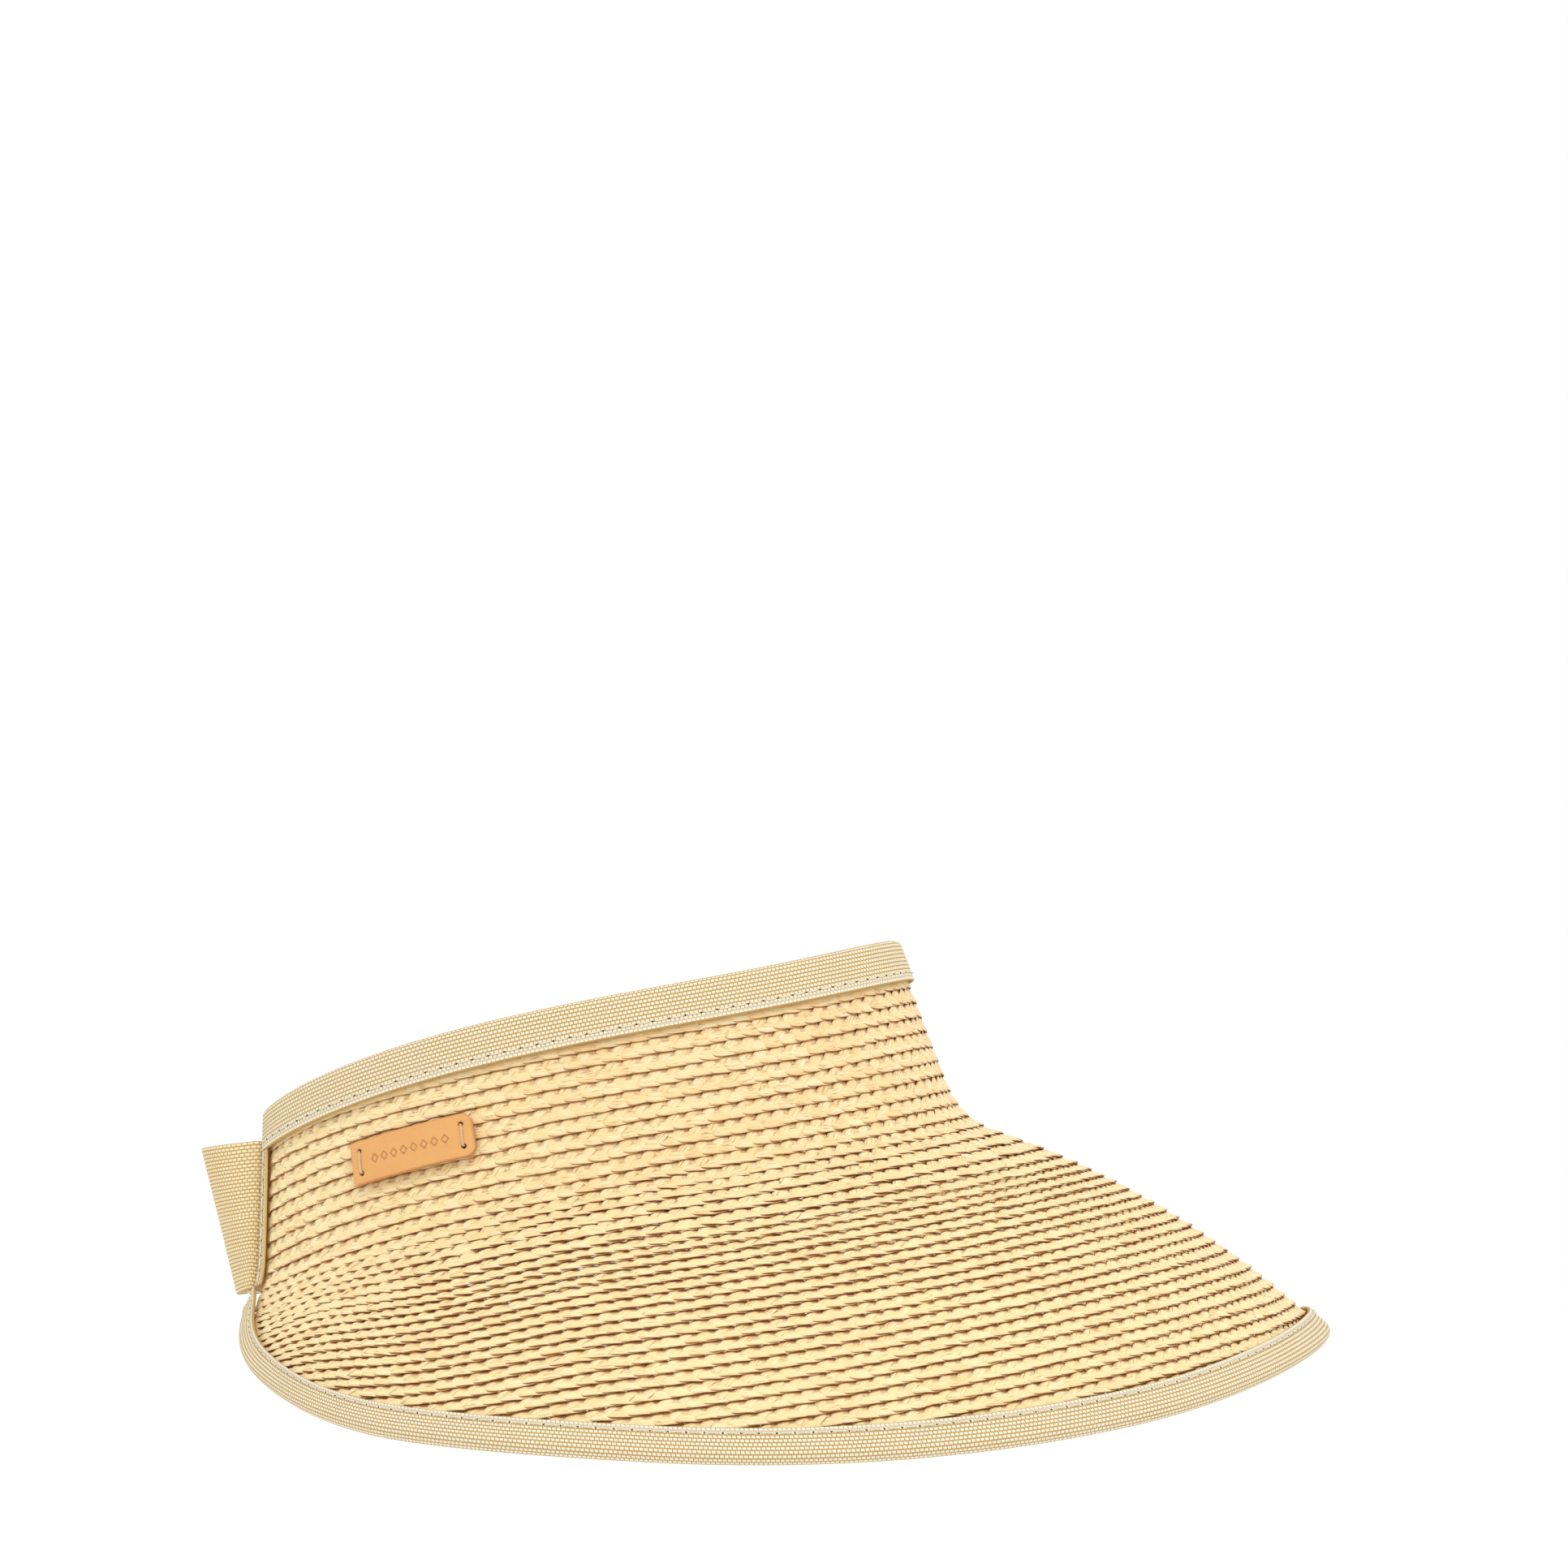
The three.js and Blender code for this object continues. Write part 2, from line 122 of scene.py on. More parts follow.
class Straw:
    """The straw's outer face on a fine grid of angle and depth, read by bilinear interpolation."""

    angle0, angle_step = -166.0, 0.5
    depth0, depth_end, depth_step = -58.0, 134.0, 1.0

    def __init__(self):
        angles = np.arange(self.angle0, -self.angle0 + 0.1, self.angle_step)
        depths = np.arange(self.depth0, self.depth_end + 0.1, self.depth_step)
        a = np.radians(angles)
        along = unit(break_line(angles + 0.05) - break_line(angles - 0.05))
        flat = unit(np.stack([np.cos(a) / HALF_LENGTH, -np.sin(a) / HALF_WIDTH, 0 * a], -1))
        up = unit(np.cross(flat, along))
        up *= np.sign(up[:, 2:3])
        outward = unit(np.cross(along, up))
        outward *= np.sign(np.sum(outward * flat, 1, keepdims=True))
        lean = 13.6 + 8 * np.cos(a) - 0.9 * np.cos(2 * a)
        start = front_side_back(angles, 73, 67, 41)
        end = front_side_back(angles, 45.5, 26.6, 31.4)
        d = depths[None]
        brim = start[:, None] + (end - start)[:, None] * np.clip(d / 120, 0, 1.2)
        slant = np.radians(
            lean[:, None] + (brim - lean[:, None]) * ease((d + FILLET) / (2 * FILLET))
        )

        def total(rate):
            run = np.concatenate(
                [np.zeros((len(angles), 1)), np.cumsum((rate[:, 1:] + rate[:, :-1]) / 2, 1)], 1
            ) * self.depth_step
            zero = int(round(-self.depth0 / self.depth_step))
            return run - run[:, zero : zero + 1]

        wide, high = total(np.sin(slant)), total(-np.cos(slant))
        o, u = outward[:, None], up[:, None]
        self.at = break_line(angles)[:, None] + wide[..., None] * o + high[..., None] * u
        self.normal = np.cos(slant)[..., None] * o + np.sin(slant)[..., None] * u
        self.down = np.sin(slant)[..., None] * o - np.cos(slant)[..., None] * u
        self.shift = np.zeros(3)

    def read(self, grid, angle, depth):
        x = (np.asarray(angle, float) - self.angle0) / self.angle_step
        y = (np.asarray(depth, float) - self.depth0) / self.depth_step
        x, y = np.broadcast_arrays(x, y)
        i = np.clip(np.floor(x).astype(int), 0, grid.shape[0] - 2)
        j = np.clip(np.floor(y).astype(int), 0, grid.shape[1] - 2)
        u, v = (x - i)[..., None], (y - j)[..., None]
        near = grid[i, j] * (1 - v) + grid[i, j + 1] * v
        return near * (1 - u) + (grid[i + 1, j] * (1 - v) + grid[i + 1, j + 1] * v) * u

    def point(self, angle, depth, out):
        p = self.read(self.at, angle, depth)
        return p + np.asarray(out, float)[..., None] * unit(self.read(self.normal, angle, depth)) + self.shift

    def frame(self, angle, depth):
        return unit(self.read(self.normal, angle, depth)), unit(self.read(self.down, angle, depth))


straw = Straw()
ROUND = np.arange(-BACK_ANGLE, BACK_ANGLE + 0.1, 0.5)
wire_line = straw.point(ROUND, brim_depth(ROUND) - WIRE_INSET, np.full(len(ROUND), -STRAW / 2))
wire_low, wire_high = (np.array(c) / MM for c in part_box("brim_wire"))
straw.shift = np.array([
    wire_high[0] - WIRE_RADIUS - wire_line[:, 0].max(), 0, wire_low[2] + WIRE_RADIUS - wire_line[:, 2].min()
])


# ---------------------------------------------------------------- meshes
def mesh_piece(name, verts, faces, materials, uv, attributes, index):
    """A mesh in metres from points in mm. uv and attributes are per point, index is a material per face."""
    mesh = bpy.data.meshes.new(name)
    loops = np.concatenate([np.asarray(f) for f in faces])
    starts = np.concatenate([[0], np.cumsum([len(f) for f in faces])[:-1]])
    mesh.vertices.add(len(verts))
    mesh.vertices.foreach_set("co", (verts * MM).astype(np.float32).ravel())
    mesh.loops.add(len(loops))
    mesh.loops.foreach_set("vertex_index", loops.astype(np.int32))
    mesh.polygons.add(len(starts))
    mesh.polygons.foreach_set("loop_start", starts.astype(np.int32))
    mesh.polygons.foreach_set("material_index", np.asarray(index, np.int32))
    mesh.update(calc_edges=True)
    mesh.validate()
    layer = mesh.uv_layers.new(name="UVMap")
    layer.data.foreach_set("uv", uv.astype(np.float32)[loops].ravel())
    for key, values in attributes.items():
        attribute = mesh.attributes.new(key, "FLOAT", "POINT")
        attribute.data.foreach_set("value", values.astype(np.float32))
    for material in materials:
        mesh.materials.append(material)
    mesh.polygons.foreach_set("use_smooth", np.ones(len(starts), bool))
    piece = bpy.data.objects.new(name, mesh)
    bpy.context.scene.collection.objects.link(piece)
    return piece


def ring_faces(rings, points, first):
    """Quads between neighbouring closed rings of points. `first` is the number of the first point."""
    i = np.arange(rings - 1)[:, None]
    j = np.arange(points)[None]
    k = (j + 1) % points
    quads = np.stack([i * points + j, i * points + k, (i + 1) * points + k, (i + 1) * points + j], -1)
    return quads.reshape(-1, 4) + first


class Mesh:
    """Collects tubes of points into one piece."""

    def __init__(self):
        self.verts, self.faces, self.uv, self.index, self.values = [], [], [], [], {}
        self.count = 0

    def tube(self, rings, uv, index=0, **values):
        """rings: (n, m, 3) points of closed rings, capped at both ends. values are per point."""
        n, m = rings.shape[:2]
        faces = [*ring_faces(n, m, self.count)]
        faces.append(np.arange(m)[::-1] + self.count)
        faces.append(np.arange(m) + self.count + (n - 1) * m)
        self.verts.append(rings.reshape(-1, 3))
        self.faces += faces
        self.uv.append(uv.reshape(-1, 2))
        self.index += [index] * len(faces)
        for key, value in values.items():
            self.values.setdefault(key, []).append(value)
        self.count += n * m

    def piece(self, name, materials):
        values = {key: np.concatenate(parts) for key, parts in self.values.items()}
        verts, uv = np.concatenate(self.verts), np.concatenate(self.uv)
        return mesh_piece(name, verts, self.faces, materials, uv, values, self.index)


def wander(rng, x, period, size):
    """Smooth seeded noise along x, with one knot each `period`."""
    knots = int(np.ptp(x) / period) + 4
    values = rng.uniform(-size, size, knots)
    f = (x - x.min()) / period
    i = np.clip(np.floor(f).astype(int), 0, knots - 2)
    t = ease(f - i)
    return values[i] * (1 - t) + values[i + 1] * t


# ---------------------------------------------------------------- materials
def nodes_of(name):
    material = bpy.data.materials.new(name)
    material.use_nodes = True
    tree = material.node_tree
    return material, tree, tree.nodes["Principled BSDF"]


class Graph:
    """Short names for building a material's nodes."""

    def __init__(self, tree):
        self.tree = tree

    def node(self, kind, **inputs):
        n = self.tree.nodes.new("ShaderNode" + kind)
        for key, value in inputs.items():
            self.put(n.inputs[key.replace("_", " ")], value)
        return n

    def put(self, socket, value):
        if isinstance(value, bpy.types.NodeSocket):
            self.tree.links.new(value, socket)
        else:
            socket.default_value = value

    def math(self, operation, a, b=0.0, c=None):
        n = self.tree.nodes.new("ShaderNodeMath")
        n.operation = operation
        self.put(n.inputs[0], a)
        self.put(n.inputs[1], b)
        if c is not None:
            self.put(n.inputs[2], c)
        return n.outputs[0]

    def mix(self, factor, a, b, blend="MIX"):
        n = self.tree.nodes.new("ShaderNodeMix")
        n.data_type, n.blend_type = "RGBA", blend
        self.put(n.inputs[0], factor)
        self.put(n.inputs[6], a)
        self.put(n.inputs[7], b)
        return n.outputs[2]

    def attribute(self, name):
        n = self.tree.nodes.new("ShaderNodeAttribute")
        n.attribute_name = name
        return n.outputs["Fac"]

    def uv(self):
        n = self.tree.nodes.new("ShaderNodeSeparateXYZ")
        t = self.tree.nodes.new("ShaderNodeTexCoord")
        self.tree.links.new(t.outputs["UV"], n.inputs[0])
        return n.outputs[0], n.outputs[1]

    def vector(self, x, y, z=0.0):
        n = self.tree.nodes.new("ShaderNodeCombineXYZ")
        for socket, value in zip(n.inputs, (x, y, z)):
            self.put(socket, value)
        return n.outputs[0]

    def noise(self, vector, scale, detail=2.0, roughness=0.5):
        n = self.node("TexNoise", Vector=vector, Scale=scale, Detail=detail, Roughness=roughness)
        return n.outputs["Fac"]

    def step(self, value, low, high):
        n = self.tree.nodes.new("ShaderNodeMapRange")
        n.interpolation_type = "SMOOTHSTEP"
        self.put(n.inputs[0], value)
        self.put(n.inputs[1], low)
        self.put(n.inputs[2], high)
        return n.outputs[0]

    def stretched_noise(self, uv, rates, detail, roughness=0.5, z=0.0):
        """Noise over the UVs, which are in mm, at its own rate each way."""
        u, v = (self.math("MULTIPLY", coordinate, rate) for coordinate, rate in zip(uv, rates))
        return self.noise(self.vector(u, v, z), 1.0, detail, roughness)

    def tinted(self, base, value, low, high, share, tint):
        """base, mixed with tint by up to `share` as value goes from low to high."""
        return self.mix(self.math("MULTIPLY", self.step(value, low, high), share), base, tint)

    def bump(self, height, distance, strength):
        return self.node("Bump", Height=height, Strength=strength, Distance=distance).outputs[0]

    def position(self):
        return self.tree.nodes.new("ShaderNodeTexCoord").outputs["Object"]


def colour(r, g, b):
    return (r, g, b, 1.0)


CREVICE_REACH, CREVICE_SAMPLES = 0.0012, 6
CELL = (1.2, 1.1)  # one block of the ribbon's weave, along and across


def straw_material():
    """Plaited straw strips: fine fibres along each strip, a tint per strip, and painted shade, browner, in
    the crevices.
    """
    material, tree, shader = nodes_of("plaited_straw")
    g = Graph(tree)
    uv = g.uv()
    fibres = g.stretched_noise(uv, (0.25, 4.5), 4.0, 0.65)
    streaks = g.stretched_noise(uv, (0.1, 2.6), 2.0)
    creases = g.stretched_noise(uv, (0.22, 3.4), 2.0, z=7.0)
    tint, tone = g.attribute("tint"), g.attribute("tone")
    crown = g.mix(tint, colour(0.94, 0.74, 0.40), colour(0.90, 0.62, 0.29))
    brim = g.mix(tint, colour(0.97, 0.80, 0.43), colour(0.94, 0.69, 0.33))
    # Partly painted light: the paler colours on the brim and the crown's back stand in for the light they
    # catch, and the more orange crown is partly the straw's own hue.
    base = g.mix(tone, crown, brim)
    pale = g.mix(tone, colour(0.97, 0.84, 0.53), colour(0.99, 0.88, 0.55))
    base = g.mix(g.step(streaks, 0.45, 0.72), base, pale)
    base = g.tinted(base, fibres, 0.50, 0.70, 0.5, colour(0.72, 0.42, 0.14))
    base = g.tinted(base, creases, 0.61, 0.67, 0.7, colour(0.46, 0.23, 0.05))
    patches = g.noise(g.position(), 28.0, 3.0)
    base = g.tinted(base, patches, 0.5, 0.8, 0.3, colour(0.88, 0.60, 0.28))
    # Painted shade: dark brown where the plait's point values mark the crevice under each row and the
    # strands' shaded sides.
    base = g.mix(g.attribute("deep"), base, colour(0.30, 0.12, 0.012))
    # Painted shade: the renderer's ambient occlusion multiplies the colour towards brown in narrow crevices.
    crevice = g.node("AmbientOcclusion", Distance=CREVICE_REACH)
    crevice.samples = CREVICE_SAMPLES
    shaded = g.step(crevice.outputs["AO"], 0.84, 0.22)
    base = g.mix(shaded, base, colour(0.64, 0.29, 0.03), "MULTIPLY")
    g.put(shader.inputs["Base Color"], base)
    g.put(shader.inputs["Roughness"], g.math("MULTIPLY_ADD", fibres, 0.25, 0.40))
    shader.inputs["Specular IOR Level"].default_value = 0.35
    shader.inputs["Sheen Weight"].default_value = 0.05
    g.put(shader.inputs["Normal"], g.bump(fibres, 0.00012, 0.6))
    return material


def ribbon_material(name, cream, gold, joint, selvage=0.0, rim=(0.58, 0.38, 0.11)):
    """Woven ribbon. UV is in mm: along the ribbon, and across it from its free edge."""
    material, tree, shader = nodes_of(name)
    g = Graph(tree)
    along, across = g.uv()
    v = g.math("DIVIDE", across, CELL[1])
    row = g.math("FLOOR", v)
    u = g.math("MULTIPLY_ADD", g.math("MODULO", row, 2.0), 0.5, g.math("DIVIDE", along, CELL[0]))
    near_v = g.math("ABSOLUTE", g.math("SUBTRACT", g.math("FRACT", v), 0.5))
    near_u = g.math("ABSOLUTE", g.math("SUBTRACT", g.math("FRACT", u), 0.5))
    line = g.step(near_v, 0.27, 0.42)
    notch = g.step(near_u, 0.36, 0.47)
    yarn = g.stretched_noise((along, across), (2.0, 7.0), 3.0)
    light, dark = (min(c * 1.06, 0.98) for c in cream), (c * 0.86 for c in cream)
    cloth = g.mix(yarn, colour(*light), colour(*dark))
    slub = g.noise(g.vector(g.math("MULTIPLY", along, 0.5), row), 1.0, 2.0)
    cloth = g.tinted(cloth, slub, 0.5, 0.72, 0.4, colour(0.97, 0.91, 0.72))
    worn = g.noise(g.vector(g.math("MULTIPLY", along, 0.06), 0.0, row), 1.0, 2.0)
    base = g.mix(g.math("MULTIPLY", notch, 0.8), cloth, colour(*joint))
    edge = g.math("SUBTRACT", 1.0, g.step(across, 1.15, 1.6))
    grey = g.mix(g.math("MULTIPLY", edge, selvage), colour(*gold), colour(0.58, 0.47, 0.33))
    base = g.mix(g.math("MULTIPLY", line, g.math("MULTIPLY_ADD", worn, 0.5, 0.62)), base, grey)
    pale = g.math("MULTIPLY", g.math("MULTIPLY", edge, selvage), 0.35)
    base = g.mix(pale, base, colour(0.92, 0.84, 0.68))
    border = g.math("SUBTRACT", 1.0, g.step(across, 0.1, 0.28))
    base = g.mix(border, base, colour(*rim))
    g.put(shader.inputs["Base Color"], base)
    shader.inputs["Roughness"].default_value = 0.78
    shader.inputs["Specular IOR Level"].default_value = 0.25
    shader.inputs["Sheen Weight"].default_value = 0.1
    shader.inputs["Sheen Roughness"].default_value = 0.5
    height = g.math("SUBTRACT", 1.0, g.math("MAXIMUM", line, notch))
    g.put(shader.inputs["Normal"], g.bump(g.math("MULTIPLY_ADD", yarn, 0.25, height), 0.00018, 0.9))
    return material


def leather_material():
    """Smooth tan leather with fine pores, darker at the edges and where it is stamped, with painted shade in
    the holes.
    """
    material, tree, shader = nodes_of("label_leather")
    g = Graph(tree)
    where = g.position()
    grain = g.node("TexVoronoi", Vector=where, Scale=2600.0).outputs["Distance"]
    cloud = g.noise(where, 160.0, 4.0, 0.6)
    fine = g.noise(where, 3500.0, 2.0)
    base = g.mix(cloud, colour(0.76, 0.37, 0.11), colour(0.84, 0.45, 0.15))
    base = g.mix(g.math("MULTIPLY", fine, 0.22), base, colour(0.60, 0.28, 0.11))
    creases = g.stretched_noise(g.uv(), (0.12, 1.2), 3.0)
    base = g.tinted(base, creases, 0.58, 0.66, 0.25, colour(0.66, 0.33, 0.14))
    base = g.mix(g.math("MULTIPLY", g.attribute("stamp"), 0.75), base, colour(0.46, 0.20, 0.07))
    edge = g.math("MULTIPLY", g.attribute("edge"), g.math("MULTIPLY_ADD", fine, 0.9, 0.1))
    base = g.mix(edge, base, colour(0.55, 0.25, 0.09))
    # Painted shade: near black down the stitch holes.
    base = g.mix(g.attribute("hole"), base, colour(0.05, 0.022, 0.008))
    g.put(shader.inputs["Base Color"], base)
    g.put(shader.inputs["Roughness"], g.math("MULTIPLY_ADD", cloud, 0.2, 0.42))
    shader.inputs["Specular IOR Level"].default_value = 0.4
    pores = g.bump(g.math("MULTIPLY_ADD", fine, 0.6, grain), 0.00005, 0.5)
    g.put(shader.inputs["Normal"], pores)
    return material


def cloth_material(name, light, dark, scale, roughness=0.85, sheen=0.2):
    """A plain fine cloth or thread, by noise stretched along its UVs."""
    material, tree, shader = nodes_of(name)
    g = Graph(tree)
    fibre = g.stretched_noise(g.uv(), (scale * 0.4, scale), 3.0, 0.6)
    g.put(shader.inputs["Base Color"], g.mix(fibre, colour(*light), colour(*dark)))
    shader.inputs["Roughness"].default_value = roughness
    shader.inputs["Sheen Weight"].default_value = sheen
    g.put(shader.inputs["Normal"], g.bump(fibre, 0.00008, 0.5))
    return material


def wire_material():
    material, tree, shader = nodes_of("drawn_wire")
    g = Graph(tree)
    scratches = g.noise(g.position(), 900.0, 3.0)
    g.put(shader.inputs["Base Color"], g.mix(scratches, colour(0.60, 0.61, 0.63), colour(0.74, 0.75, 0.77)))
    g.put(shader.inputs["Roughness"], g.math("MULTIPLY_ADD", scratches, 0.2, 0.25))
    shader.inputs["Metallic"].default_value = 1.0
    return material


STRAW_MATERIAL = straw_material()
RIBBON_MATERIAL = ribbon_material(
    "woven_ribbon", (0.96, 0.84, 0.60), (0.55, 0.30, 0.05), (0.40, 0.26, 0.10), selvage=1.0
)
TAB_MATERIAL = ribbon_material("closure_ribbon", (0.99, 0.81, 0.50), (0.58, 0.30, 0.05), (0.56, 0.36, 0.14))
# Painted shade: the end bindings take a darker copy of the ribbon's colours, for the shadow at the cut ends.
SHADED_END_MATERIAL = ribbon_material(
    "end_ribbon", (0.90, 0.74, 0.47), (0.46, 0.27, 0.08), (0.30, 0.18, 0.06), rim=(0.70, 0.50, 0.22)
)
LEATHER = leather_material()
THREAD = cloth_material("sewing_thread", (0.90, 0.82, 0.64), (0.74, 0.62, 0.42), 6.0, 0.6)
WAXED_THREAD = cloth_material("waxed_thread", (0.86, 0.66, 0.42), (0.62, 0.42, 0.22), 6.0, 0.5)
# Painted shade: near-black dots set at each needle hole.
NEEDLE_HOLE_SHADE = cloth_material("needle_hole_shade", (0.10, 0.055, 0.02), (0.05, 0.025, 0.01), 4.0, 0.95, 0.0)
COTTON = cloth_material("sweatband_cotton", (0.93, 0.89, 0.80), (0.84, 0.78, 0.66), 5.0)
SATIN = cloth_material("satin_label", (0.94, 0.93, 0.90), (0.86, 0.85, 0.82), 8.0, 0.35)
HOOKS = cloth_material("hook_tape", (0.84, 0.77, 0.62), (0.70, 0.62, 0.46), 5.0, 0.5)
PILE = cloth_material("loop_tape", (0.88, 0.82, 0.70), (0.74, 0.66, 0.52), 5.0, 0.95, 0.5)

# ---------------------------------------------------------------- plaited straw rows
PERIOD = 14.4
SWAY = 1.45
FLAT_FOOT = 0.25
RISE = 0.27
SKEW = 0.35
STRIP_WIDTH = 3.3
STRIP_THICKNESS = 0.52
HALF_ROW = 3.1
SECTION = 12
STATION = PERIOD / 16
CROWN_ROWS, ROW_LIMIT = 11, 40
CROWN_PITCH, BRIM_PITCH, BACK_PITCH_LOSS, FAN_OUT = 4.35, 3.98, 0.63, 8.8
ROW_OUT = -1.35
PRESSED_OUT = -0.75
EDGE_MARGIN = 2.4
# Seeded noise along a row: the distance between its knots, and its size.
DRIFT, WEAVE = (60, 0.5), (25, 0.16)
SIDEWAYS, UP_AND_DOWN, ROLL = (5, 0.13), (7, 0.07), (4, 0.13)
WIDTH_CHANGE, THICKNESS_CHANGE = (4, 0.4), (4, 0.12)


def row_edge(row, angle):
    """Depth of a row's lower edge. Row 0 ends at the break; rows above it are negative."""
    a = np.abs(angle)
    back = ease((a - 100) / 40)
    start = 1.4 - 1.6 * back
    if row <= 0:
        return start + CROWN_PITCH * row
    spread = FAN_OUT * (1 - ease((a - 108) / 30))
    return start + (BRIM_PITCH - BACK_PITCH_LOSS * back) * row + spread * ease(row / 6)


def under_ribbon(angle, depth):
    """1 where the straw is pressed flat under a binding, 0 in the open."""
    above = ease((-CROWN_HEIGHT + TOP_BINDING_WIDTH + 0.6 - depth) / 1.6)
    below = ease((depth - brim_depth(angle) + BRIM_BINDING_WIDTH + 0.6) / 1.6)
    return np.maximum(above, below)


def plait_row(name, row, low, high, seed):
    """One row of three-strand plait between two angles, as one piece."""
    rng = np.random.default_rng(seed)
    angles = np.arange(low, high + 0.25, 0.5)
    path = straw.point(angles, row_edge(row, angles) - 3.0, np.full(len(angles), -1.3))
    length = np.concatenate([[0], np.cumsum(np.linalg.norm(np.diff(path, axis=0), axis=1))])
    x = np.linspace(0, length[-1], max(int(length[-1] / STATION), 8))
    angle = np.interp(x, length, angles)
    spread = np.clip((row_edge(row, angle) - row_edge(row - 1, angle)) / 4.3, 0.9, 1.45)
    half = HALF_ROW * spread
    centre = row_edge(row, angle) - half
    tilt = np.where(centre < 0, 0.17, 0.1 + 0.12 * ease((centre - 12) / 28))
    # tone: 0 on the crown, up to 1 on the brim and at the crown's back, where it gives paler colours, partly
    # as painted light.
    tone = np.maximum(ease((centre + 14) / 30), 0.8 * ease((np.abs(angle) - 85) / 40))
    drift = wander(rng, x, *DRIFT) + rng.uniform(0, 6.28)
    weave = wander(rng, x, *WEAVE)
    built = Mesh()
    around = np.arange(SECTION) / SECTION * 2 * np.pi
    for strand in range(3):
        even = 2 * np.pi * x / PERIOD + drift + 2 * np.pi * strand / 3
        phase = even + SKEW * np.cos(even)
        bend = np.sin(phase) + FLAT_FOOT * (1 + np.cos(2 * phase))
        y = (SWAY * spread + wander(rng, x, *SIDEWAYS)) * bend + weave
        lift = -RISE * np.sin(2 * phase)
        depth = centre + y
        at_end = ease((np.abs(angle) - BACK_ANGLE + 3.4) / 1.2)
        pressed = np.maximum(under_ribbon(angle, depth), at_end)
        out = ROW_OUT + tilt * y + lift * (1 - 0.6 * pressed) + wander(rng, x, *UP_AND_DOWN)
        out = out * (1 - pressed) + np.minimum(out, PRESSED_OUT) * pressed
        centreline = straw.point(angle, depth, out)
        forward = unit(np.gradient(centreline, axis=0))
        normal, down = straw.frame(angle, depth)
        normal = unit(normal - (tilt * (1 - pressed))[:, None] * down)
        roll = wander(rng, x, *ROLL) * (1 - pressed)
        side = unit(np.cross(normal, forward))
        normal = unit(np.cross(forward, side))
        side, normal = (
            np.cos(roll)[:, None] * side + np.sin(roll)[:, None] * normal,
            np.cos(roll)[:, None] * normal - np.sin(roll)[:, None] * side,
        )
        wide = (STRIP_WIDTH * spread + wander(rng, x, *WIDTH_CHANGE)) / 2
        thick = (STRIP_THICKNESS + wander(rng, x, *THICKNESS_CHANGE)) / 2
        c, s = np.cos(around), np.sin(around)
        c, s = np.sign(c) * np.abs(c) ** 0.8, np.sign(s) * np.abs(s) ** 0.9
        rings = (
            centreline[:, None]
            + (wide[:, None] * c)[..., None] * side[:, None]
            + (thick[:, None] * s)[..., None] * normal[:, None]
        )
        round_strip = (around * STRIP_WIDTH / np.pi)[None]
        uv = np.stack(np.broadcast_arrays(x[:, None] + 40 * strand, round_strip), -1)
        # Painted shade per point, for the straw's colour: under the edge of the row above, on each strand's
        # underside and along its lower sides.
        across = np.sum(side * down, axis=1)
        spot = y[:, None] + wide[:, None] * c * across[:, None]
        shown = (half - 4.3 * spread)[:, None]
        tucked_shade = ease((shown + 0.1 - spot) / 0.9) * ease((s[None] + 0.3) / 0.5)
        below = 0.15 * ease((-0.1 - s[None] + 0 * spot) / 0.8)
        shade = ease((0.75 - s) / 0.6) * ease((s + 1.0) / 0.7)
        side_shade = 0.9 * (ease((np.abs(c) - 0.75) / 0.25) * shade)[None] + 0 * spot
        deep = np.clip(np.maximum(np.maximum(0.8 * tucked_shade, below), side_shade), 0, 1)
        lobes = np.floor(phase / (2 * np.pi)).astype(int)
        tints = rng.beta(1.6, 2.2, lobes.max() - lobes.min() + 2)
        tint = tints[lobes - lobes.min()][:, None] * np.ones(SECTION)
        tones = tone[:, None] * np.ones(SECTION)
        built.tube(rings, uv, tint=tint.ravel(), deep=deep.ravel(), tone=tones.ravel())
    piece = built.piece(name, [STRAW_MATERIAL])
    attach(piece, "visor")
    return piece


def spans(keep):
    """The first and last index of each run of true values."""
    edges = np.flatnonzero(np.diff(np.concatenate([[0], keep.astype(int), [0]])))
    return [(a, b - 1) for a, b in zip(edges[::2], edges[1::2]) if b - a > 6]


def straw_rows():
    fine = np.arange(-BACK_ANGLE + 0.4, BACK_ANGLE - 0.3, 0.25)
    for row in range(-CROWN_ROWS + 1, ROW_LIMIT):
        keep = row_edge(row, fine) <= brim_depth(fine) - EDGE_MARGIN
        for part, (a, b) in enumerate(spans(keep)):
            word, node = ("crown", "crown_band") if row <= 0 else ("brim", "brim")
            name = f"{word}_row_{row + CROWN_ROWS:02d}_{part + 1}"
            seed = 100 * (row + CROWN_ROWS) + part
            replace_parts(plait_row(name, row, fine[a], fine[b], seed), node)


# ---------------------------------------------------------------- ribbons
RELIEF = 0.14


def woven_height(along, across, cell=CELL):
    v = across / cell[1]
    row = np.floor(v)
    u = along / cell[0] + 0.5 * (row % 2)
    ridge = np.abs(np.sin(np.pi * v)) ** 0.6
    block = np.abs(np.sin(np.pi * u)) ** 0.4
    return np.minimum(ridge, 0.35 + 0.65 * block)


